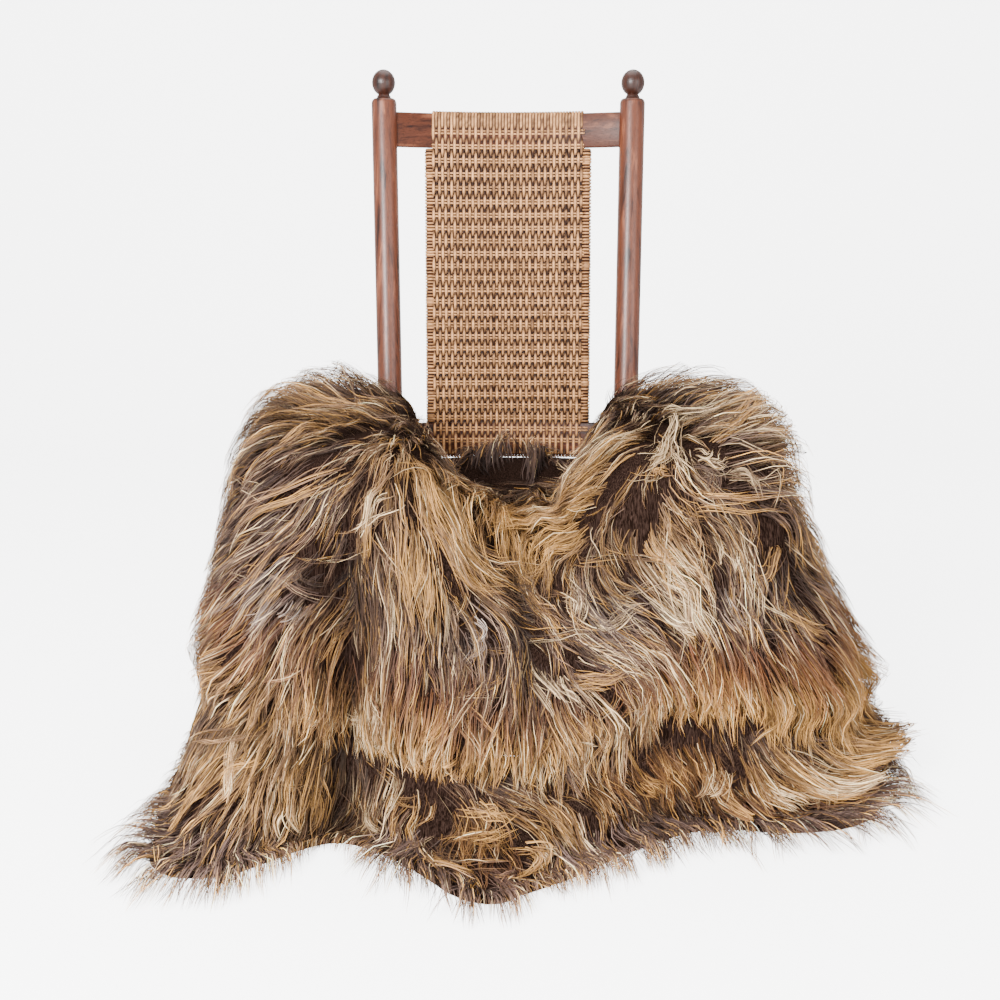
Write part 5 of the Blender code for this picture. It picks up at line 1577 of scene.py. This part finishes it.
def arm_board(bm, side):
    inner = on_back_post(1, ARM_TOP).x + POST_R + GAP
    corner = (ARM_OUTER - inner) / 2
    outline = [(side * inner, ARM_BACK), (side * ARM_OUTER, ARM_BACK)]
    for step in range(25):
        angle = math.pi * step / 24
        x = inner + corner + corner * math.cos(angle)
        outline.append((side * x, ARM_FRONT + corner - corner * math.sin(angle)))
    face = bm.faces.new([bm.verts.new((x, y, ARM_TOP - ARM_THICK)) for x, y in outline])
    made = bmesh.ops.extrude_face_region(bm, geom=[face])
    bmesh.ops.translate(bm, vec=(0, 0, ARM_THICK), verts=new_verts(made))
    rims = [e for e in bm.edges if abs(e.verts[0].co.z - e.verts[1].co.z) < 1e-6]
    rounded(bm, rims, ARM_EDGE, 5)


def cane_colours(wood, stain):
    """Cane from its light tone at 0 to its dark one at 1, for stain and for painted shade."""
    light, dark = np.array(wood.cane_light), np.array(wood.cane_dark)
    return mix(light, dark, np.clip(stain, 0, 1)[..., None])


def cane_tone(wood, dive, strips, draw):
    """Cane colours: each strip's own honey tone, with a deep painted shade where it dives under
    another.
    """
    own = draw.uniform(*STRIP_STAIN, strips)[:, None]
    speckle = draw.uniform(*SPECKLE, dive.shape)
    return cane_colours(wood, own + DIVE_SHADE * dive**DIVE_POWER + speckle)


def strip_mesh(name, lines, across, out, wide, colours, material):
    """Flat strips with a crowned face along lines of points, [strip, step, axis]."""
    strips, steps = lines.shape[:2]
    offsets = np.array(CROWNED)
    lift = -CANE_CROWN * (2 * offsets) ** 2
    verts = lines[:, :, None] + across[:, :, None] * offsets[:, None] * wide[..., None, None]
    verts = verts + out[:, :, None] * lift[:, None]
    wide_count = len(offsets)
    s, k, c = np.meshgrid(
        np.arange(strips), np.arange(steps - 1), np.arange(wide_count - 1), indexing="ij"
    )
    corner = (s * steps + k) * wide_count + c
    quads = np.stack([corner, corner + 1, corner + 1 + wide_count, corner + wide_count], axis=-1)
    spots = np.zeros((strips, steps, wide_count, 2))
    spots[..., 0] = (np.arange(strips)[:, None, None] + 0.1 + 0.8 * (offsets + 0.5)) / strips
    spots[..., 1] = np.linspace(0.002, 0.998, steps)[None, :, None]
    # painted shade towards the strip's edges, so that it looks rounded
    shade = 1 - EDGE_SHADE * (2 * np.abs(offsets)) ** 2
    return from_arrays(
        name, verts.reshape(-1, 3), quads.reshape(-1, 4), np.zeros((0, 3), int),
        (colours[:, :, None] * shade[:, None]).reshape(-1, 3), spots.reshape(-1, 2), material,
    )


def lean_turned(vectors):
    return vectors @ np.array(back_frame())[:3, :3].T


def leaned(points):
    return lean_turned(points) + np.array(back_frame())[:3, 3]


def cane_limits():
    reach = SLAT_TALL / 2 + CANE_OVER
    return LOW_SLAT - reach, TOP_SLAT + reach


def row_heights():
    """Heights of the pairs that cross the front, from the top one down."""
    low, high = cane_limits()
    heights = [high - PLAIN_TOP]
    while heights[-1] - low > 2 * ROW_PITCHES[1]:
        heights.append(heights[-1] - mix(*ROW_PITCHES, min(len(heights) / ROWS_WIDENED, 1.0)))
    return np.array(heights)


def rows_down(height):
    """How many rows of pairs lie above a height, with fractions."""
    heights = row_heights()
    return np.interp(height, heights[::-1], np.arange(len(heights))[::-1])


def upright_canes(wood, material):
    """Canes that run up the front, over the top slat, down the back and under the low slat."""
    low, high = cane_limits()
    deep = CANE_DEEP
    rise = np.arange(low + deep, high - deep, ROW_PITCHES[1] / 4)
    bend = np.linspace(0, math.pi, 8)[1:-1]
    z = np.concatenate([
        rise, high - deep + deep * np.sin(bend), rise[::-1], low + deep - deep * np.sin(bend),
    ])
    y = np.concatenate([0 * rise - deep, -deep * np.cos(bend), 0 * rise + deep, deep * np.cos(bend)])
    out_y = np.concatenate([0 * rise - 1, -np.cos(bend), 0 * rise + 1, np.cos(bend)])
    out_z = np.concatenate([0 * rise, np.sin(bend), 0 * rise, -np.sin(bend)])
    moved = np.concatenate([0 * rise, bend / math.pi, 0 * rise + 1, 1 + bend / math.pi]) / 2
    number, pitch = np.arange(UPRIGHTS), 2 * CANE_HALF / UPRIGHTS
    x = (number[:, None] + 0.25 + moved - UPRIGHTS / 2) * pitch
    down = rows_down(z) - 0.5 * (y > 0)
    woven = falling(z, high - PLAIN_TOP + WEAVE_BEGINS, WEAVE_RUN)
    woven = woven * smooth_step((z - low - deep) / WEAVE_RUN)
    over = np.cos(math.pi * (down[None] + number[:, None])) * woven + (1 - woven) * PLAIN_OVER
    out = np.stack(np.broadcast_arrays(0.0, out_y, out_z), axis=-1)[None] * np.ones((UPRIGHTS, 1, 1))
    lines = np.stack(np.broadcast_arrays(x, bow_at(x) + y, z), axis=-1)
    lines = lines + out * (UPRIGHT_SWAY * over)[..., None]
    across = np.zeros_like(lines)
    across[..., 0] = 1.0
    wide = UPRIGHT_WIDE * (UPRIGHT_LEAST + UPRIGHT_OVER * over)
    draw = np.random.default_rng(11)
    # painted shade where an upright goes under the crossing canes
    tones = cane_tone(wood, 0.5 - 0.5 * over, UPRIGHTS, draw)
    out = lean_turned(out)
    return strip_mesh("cane_uprights", leaned(lines), across, out, wide, tones, material)


def crossing_canes(wood, material):
    """Pairs of thin canes that cross the uprights, and end round the wound edges."""
    steps, heights = 2 * UPRIGHTS + 1, row_heights()
    x = np.linspace(-CANE_HALF, CANE_HALF, steps)
    place = (x / CANE_HALF + 1) * UPRIGHTS / 2 - 0.5
    lines, outs, dives = [], [], []
    wound_top = TOP_SLAT - SLAT_TALL / 2
    for face, shift in ((-1, 0.0), (1, 0.5)):
        for row in range(len(heights) - (face > 0)):
            height = np.interp(row + shift, np.arange(len(heights)), heights)
            over = -np.cos(math.pi * (row + place - (0.25 if face > 0 else -0.25)))
            y = bow_at(x) + face * (CANE_DEEP + THIN_SWAY * over)
            over_edge = over[[0, -1]] + over[[1, -2]] > 0
            ends = []
            for side, on_top in zip((-1, 1), over_edge):
                plain = END_PLAIN if height > wound_top else 1.0
                reach = np.array(END_REACH) * WOUND_R * plain
                lift = np.array(END_LIFT) * (WOUND_R + END_CLEAR) * (1.0 if on_top else END_UNDER)
                at_x = side * (CANE_HALF + reach)
                ends.append(np.stack([at_x, bow_at(CANE_HALF) + face * lift], axis=-1))
            line = np.concatenate([ends[0][::-1], np.stack([x, y], axis=-1), ends[1]])
            # painted shade where the thin canes go under the uprights and round the wound edges
            dive = np.concatenate([END_DIVE[::-1], 0.5 - 0.5 * over, END_DIVE])
            for part in (-0.5, 0.5):
                z = np.full(len(line), height + part * PAIR_APART)
                lines.append(np.column_stack([line, z]))
                outs.append(np.tile([0.0, float(face), 0.0], (len(line), 1)))
                dives.append(dive)
    lines, outs, dives = np.array(lines), np.array(outs), np.array(dives)
    across = np.cross(np.array([1.0, 0.0, 0.0]), outs)
    draw = np.random.default_rng(12)
    wide = np.full(lines.shape[:2], THIN_WIDE)
    return strip_mesh(
        "cane_crossings", leaned(lines), lean_turned(across), lean_turned(outs), wide,
        cane_tone(wood, THIN_SHADE * dives, len(lines), draw), material,
    )


def wound_ends(side):
    """The two ends of the line about which cane is wound at the panel's edge."""
    x = CANE_HALF + WOUND_R - WOUND_IN
    low, high = LOW_SLAT + SLAT_TALL / 2 + GAP, TOP_SLAT - SLAT_TALL / 2 - GAP
    return [back_frame() @ Vector((side * x, bow_at(x), height)) for height in (low, high)]


def wound_binding(bm, side):
    """Cane wound round the panel's edge: a rod with one low ring for each turn."""
    ends = wound_ends(side)
    turns = int((ends[1] - ends[0]).length / WOUND_PITCH)
    profile = [(0.0, 0.0)]
    for ring in range(turns):
        for part in (0.04, 0.22, 0.50, 0.78, 0.96):
            bulge = math.sin(math.pi * part) ** 0.6
            profile.append((WOUND_R - WOUND_DEEP * (1 - bulge), (ring + part) * WOUND_PITCH))
    profile.append((0.0, turns * WOUND_PITCH))
    turned(bm, profile, *ends, sides=14)


def paint_turns(mesh, side, wood):
    """Gives the wound cane its tones: one for each turn, with painted shade in the grooves between
    them.
    """
    start, end = (np.array(point) + CHAIR for point in wound_ends(side))
    along = unit(end - start)
    points = np.array([vert.co for vert in mesh.vertices]) - start
    height = points @ along
    radius = np.linalg.norm(points - height[:, None] * along, axis=1)
    # painted shade, deepest in the grooves between the turns
    groove = np.clip((WOUND_R - radius) / WOUND_DEEP, 0, 1)
    turns = np.random.default_rng(13).uniform(*TURN_STAIN, 200)
    own = turns[(height / WOUND_PITCH).astype(int)]
    paint_points(mesh, cane_colours(wood, own + DIVE_SHADE * groove**GROOVE_POWER))


# Floor that bends up into a wall, and lights: name, place, size and power
FLOOR_HALF, FLOOR_BACK, FLOOR_DEEP = 6.0, 2.4, -0.0005
WALL_BEND, WALL_TOP = 1.4, 5.0
LIGHTS = (
    ("key", (-1.7, -3.0, 2.0), 1.3, 480.0), ("fill", (2.3, -2.4, 1.3), 2.4, 130.0),
    ("above", (0.0, 0.6, 3.2), 2.4, 90.0),
)
LIGHTS_AIM = (0.0, 0.0, 0.45)
WORLD_LIGHT = 1.1

# Settings that a user may change


def colour_property(name, description, default):
    return FloatVectorProperty(
        name=name, description=description, subtype="COLOR", min=0.0, max=1.0, default=default
    )


def length_property(name, description, default):
    return FloatProperty(
        name=name, description=description, default=default, unit="LENGTH", precision=4
    )


class WoolSettings(bpy.types.PropertyGroup):
    """Sizes and colours of the wool and its hide."""

    upper_locks: IntProperty(
        name="Upper locks", description="Locks of wool on the upper tier", default=4300, min=10
    )
    lower_locks: IntProperty(
        name="Lower locks", description="Locks of wool on the lower tier", default=1550, min=10
    )
    strands: IntProperty(
        name="Strands", description="Strands in each lock", default=10, min=1, max=40
    )
    length: length_property("Length", "Usual length of a strand", 0.165)
    width: length_property("Width", "Width of a strand", 0.0014)
    lock_width: length_property("Lock width", "Width of a lock at its root", 0.015)
    wave: length_property("Wave", "How far a strand sways", 0.0030)
    wave_length: length_property("Wave length", "Length of one wave", 0.090)
    loose: FloatProperty(
        name="Loose", description="Share of strands that stray", default=0.10, subtype="FACTOR"
    )
    # the root's tone is painted shade, for the wool that lies deep at the hide
    root: colour_property("Root", "Wool at the hide", (0.011, 0.0055, 0.0035))
    mauve: colour_property("Mauve", "Greyer middle of the wool", (0.064, 0.0430, 0.0365))
    brown: colour_property("Brown", "Browner middle of the wool", (0.045, 0.0260, 0.0200))
    rust: colour_property("Rust", "Bands of sunburnt wool", (0.120, 0.037, 0.012))
    gold: colour_property("Gold", "Sun-bleached tips", (0.470, 0.240, 0.070))
    cream: colour_property("Cream", "The palest tips", (0.740, 0.520, 0.290))
    silver: colour_property("Silver", "Grey strands", (0.250, 0.210, 0.195))
    ochre: colour_property("Ochre", "The lower tier's warm wool", (0.092, 0.037, 0.010))
    suede: colour_property("Suede", "The hide's inner side", (0.360, 0.250, 0.150))


class ChairSettings(bpy.types.PropertyGroup):
    """Colours of the chair's wood and cane."""

    oak_dark: colour_property("Dark oak", "Dark grain", (0.016, 0.004, 0.002))
    oak_mid: colour_property("Oak", "The wood between its grain", (0.085, 0.023, 0.010))
    oak_light: colour_property("Light oak", "Pale grain", (0.190, 0.062, 0.029))
    cane_light: colour_property("Light cane", "Cane in the open", (0.680, 0.330, 0.135))
    # the dark tone is also the painted shade where canes go under others and in the wound grooves
    cane_dark: colour_property("Dark cane", "Stained cane", (0.022, 0.006, 0.0015))


class StageSettings(bpy.types.PropertyGroup):
    """Floor, light and camera."""

    floor: colour_property("Floor", "The pale floor and wall", (0.88, 0.88, 0.88))
    glow: FloatProperty(
        name="Glow", description="How much brighter the floor looks than it is lit", default=4.0
    )
    camera_place: FloatVectorProperty(
        name="Camera", description="Where the camera stands", subtype="XYZ", unit="LENGTH",
        default=(-0.047, -2.112, 1.0),
    )
    camera_pitch: FloatProperty(
        name="Pitch", description="How far the camera looks down", subtype="ANGLE",
        default=math.radians(14.35),
    )
    lens: FloatProperty(
        name="Lens", description="Focal length on a 36 mm wide sensor, in mm", default=48.6
    )


# One operator for each group of pieces


class RUG_OT_rug(bpy.types.Operator):
    """Makes both tiers of the rug: hide, underwool and long strands"""

    bl_idname = "rug.rug"
    bl_label = "Rug"

    def execute(self, context):
        wool = context.scene.rug_wool
        form = rug_form()
        upper_hide, upper_felt = hide_pieces(form, "upper", (), wool)
        lower_hide, lower_felt = hide_pieces(form, "lower", HEM_REACH, wool)
        upper = wool_pieces(
            upper_shell(form), UPPER_PIECES, "upper", UPPER_ROWS, wool.length,
            (LIP_REACH, LIP_SPREAD), TRESSES_UPPER, wool.upper_locks, wool, 100,
        )
        lower = wool_pieces(
            lower_shell(form), LOWER_PIECES, "lower", LOWER_ROWS, 0.95 * wool.length,
            (HEM_REACH, HEM_SPREAD), TRESSES_LOWER, wool.lower_locks, wool, 200,
        )
        finished(
            upper_hide, "upper_tier", "lip_locks_left", "lip_locks_front", "lip_locks_right",
            slot="wool",
        )
        finished(
            lower_hide, "lower_tier", "hem_locks_left", "hem_locks_front", "hem_locks_right",
            slot="wool",
        )
        return {"FINISHED"}


class RUG_OT_posts(bpy.types.Operator):
    """Makes the four turned posts"""

    bl_idname = "rug.posts"
    bl_label = "Posts"

    def execute(self, context):
        wood = context.scene.rug_chair
        material = wood_material("oak_upright", "z", wood, darker_above=BACK_TOP[2] - POST_HEAD)
        for side, word in SIDES:
            bm = bmesh.new()
            foot, top = on_back_post(side, 0.0), Vector((side * BACK_TOP[0], *BACK_TOP[1:]))
            turned(bm, back_post_profile((top - foot).length), foot, top)
            flat_foot(bm)
            piece = from_bmesh("turned_back_post_" + word, bm, material)
            finished(piece, "back_post_" + word, slot="oak")

            bm = bmesh.new()
            height = ARM_TOP - ARM_THICK - GAP
            profile = [(0, 0), (FOOT_R, 0), *POST_FOOT, (POST_R, height), (0, height)]
            turned(bm, profile, on_front_post(side, 0), on_front_post(side, height))
            piece = from_bmesh("turned_front_post_" + word, bm, material)
            finished(piece, "front_post_" + word, slot="oak")
        return {"FINISHED"}


class RUG_OT_rods(bpy.types.Operator):
    """Makes the round seat rails and rungs"""

    bl_idname = "rug.rods"
    bl_label = "Rails and rungs"

    def execute(self, context):
        wood = context.scene.rug_chair
        materials = {axis: wood_material("oak_rod_" + axis, axis, wood) for axis in "xy"}
        for name, first, last, height, radius, along in RODS:
            bm = bmesh.new()
            start, end = rod_ends(first, last, height)
            long = (end - start).length
            turned(bm, [(0, 0), (radius, 0), (radius, long), (0, long)], start, end, sides=32)
            piece = from_bmesh("round_" + name, bm, materials[along])
            finished(piece, name, slot="oak")
        return {"FINISHED"}


class RUG_OT_boards(bpy.types.Operator):
    """Makes the bowed slats and the arms, and finishes the seat"""

    bl_idname = "rug.boards"
    bl_label = "Slats, arms and seat"

    def execute(self, context):
        wood = context.scene.rug_chair
        across = wood_material("oak_slat", "x", wood, 0.62, gloss=0.12)
        lengthwise = wood_material("oak_arm", "y", wood)
        for name, middle in (("top_slat", TOP_SLAT), ("low_slat", LOW_SLAT)):
            bm = bmesh.new()
            bowed_slat(bm, middle)
            finished(from_bmesh("bowed_" + name, bm, across), name, slot="oak")
        for side, word in SIDES:
            bm = bmesh.new()
            arm_board(bm, side)
            finished(from_bmesh("rounded_arm_" + word, bm, lengthwise), "arm_" + word, slot="oak")
        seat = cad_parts["seat_panel"]
        seat.data.materials.clear()
        seat.data.materials.append(seat_material(wood))
        return {"FINISHED"}


class RUG_OT_cane(bpy.types.Operator):
    """Makes the woven cane back and its wound edges"""

    bl_idname = "rug.cane"
    bl_label = "Cane back"

    def execute(self, context):
        wood = context.scene.rug_chair
        material = painted_material("woven_cane", 0.50, 0.12)
        finished(upright_canes(wood, material), "cane_panel", slot="cane")
        finished(crossing_canes(wood, material), slot="cane")
        for side, word in SIDES:
            bm = bmesh.new()
            wound_binding(bm, side)
            piece = from_bmesh("wound_edge_" + word, bm, material, 80.0)
            paint_turns(piece.data, side, wood)
            finished(piece, "cane_binding_" + word, slot="cane")
        return {"FINISHED"}


class RUG_OT_stage(bpy.types.Operator):
    """Makes the floor that curves up into a wall, the lights and the camera"""

    bl_idname = "rug.stage"
    bl_label = "Stage"

    def execute(self, context):
        settings = context.scene.rug_stage
        bm = bmesh.new()
        outline = [(-FLOOR_HALF, FLOOR_DEEP), (FLOOR_BACK, FLOOR_DEEP)]
        for step in range(1, 13):
            angle = math.pi / 2 * step / 12
            up = WALL_BEND * (1 - math.cos(angle))
            outline.append((FLOOR_BACK + WALL_BEND * math.sin(angle), up))
        outline.append((FLOOR_BACK + WALL_BEND, WALL_TOP))
        verts = [bm.verts.new((-FLOOR_HALF, y, z)) for y, z in outline]
        edges = [bm.edges.new(pair) for pair in zip(verts, verts[1:])]
        made = bmesh.ops.extrude_edge_only(bm, edges=edges)
        bmesh.ops.translate(bm, vec=(2 * FLOOR_HALF, 0, 0), verts=new_verts(made))
        mesh = bpy.data.meshes.new("floor")
        bm.to_mesh(mesh)
        bm.free()
        mesh.shade_smooth()
        floor = linked("floor", mesh, floor_material(settings))

        for light in LIGHTS:
            self.light(*light)
        world = bpy.data.worlds.new("studio")
        world.use_nodes = True
        background = world.node_tree.nodes["Background"]
        background.inputs["Color"].default_value = (1.0, 1.0, 1.0, 1.0)
        background.inputs["Strength"].default_value = WORLD_LIGHT
        context.scene.world = world

        camera = bpy.data.cameras.new("camera")
        camera.lens, camera.sensor_width = settings.lens, 36.0
        holder = bpy.data.objects.new("camera", camera)
        holder.location = settings.camera_place
        holder.rotation_euler = (math.pi / 2 - settings.camera_pitch, 0.0, 0.0)
        context.scene.collection.objects.link(holder)
        context.scene.camera = holder
        return {"FINISHED"}

    def light(self, name, place, size, power):
        lamp = bpy.data.lights.new(name, "AREA")
        lamp.size, lamp.energy = size, power
        holder = bpy.data.objects.new(name, lamp)
        holder.location = place
        aim = Vector(LIGHTS_AIM) - Vector(place)
        holder.rotation_euler = aim.to_track_quat("-Z", "Y").to_euler()
        bpy.context.scene.collection.objects.link(holder)


class RUG_PT_panel(bpy.types.Panel):
    """Lists the pieces in the sidebar"""

    bl_idname = "RUG_PT_panel"
    bl_label = "Rug"
    bl_space_type = "VIEW_3D"
    bl_region_type = "UI"
    bl_category = "Rug"

    def draw(self, context):
        for operator in OPERATORS:
            self.layout.operator(operator.bl_idname)
        for name in SETTINGS:
            group = getattr(context.scene, name)
            for key in group.__annotations__:
                self.layout.prop(group, key)


OPERATORS = (RUG_OT_rug, RUG_OT_posts, RUG_OT_rods, RUG_OT_boards, RUG_OT_cane, RUG_OT_stage)
SETTINGS = {"rug_wool": WoolSettings, "rug_chair": ChairSettings, "rug_stage": StageSettings}


def register():
    for group in SETTINGS.values():
        bpy.utils.register_class(group)
    for name, group in SETTINGS.items():
        setattr(bpy.types.Scene, name, PointerProperty(type=group))
    for operator in OPERATORS:
        bpy.utils.register_class(operator)
    bpy.utils.register_class(RUG_PT_panel)


def unregister():
    bpy.utils.unregister_class(RUG_PT_panel)
    for operator in OPERATORS:
        bpy.utils.unregister_class(operator)
    for name, group in SETTINGS.items():
        delattr(bpy.types.Scene, name)
        bpy.utils.unregister_class(group)


def main():
    register()
    bpy.ops.rug.posts()
    bpy.ops.rug.rods()
    bpy.ops.rug.boards()
    bpy.ops.rug.cane()
    bpy.ops.rug.rug()
    bpy.ops.rug.stage()


if __name__ == "__main__":
    main()
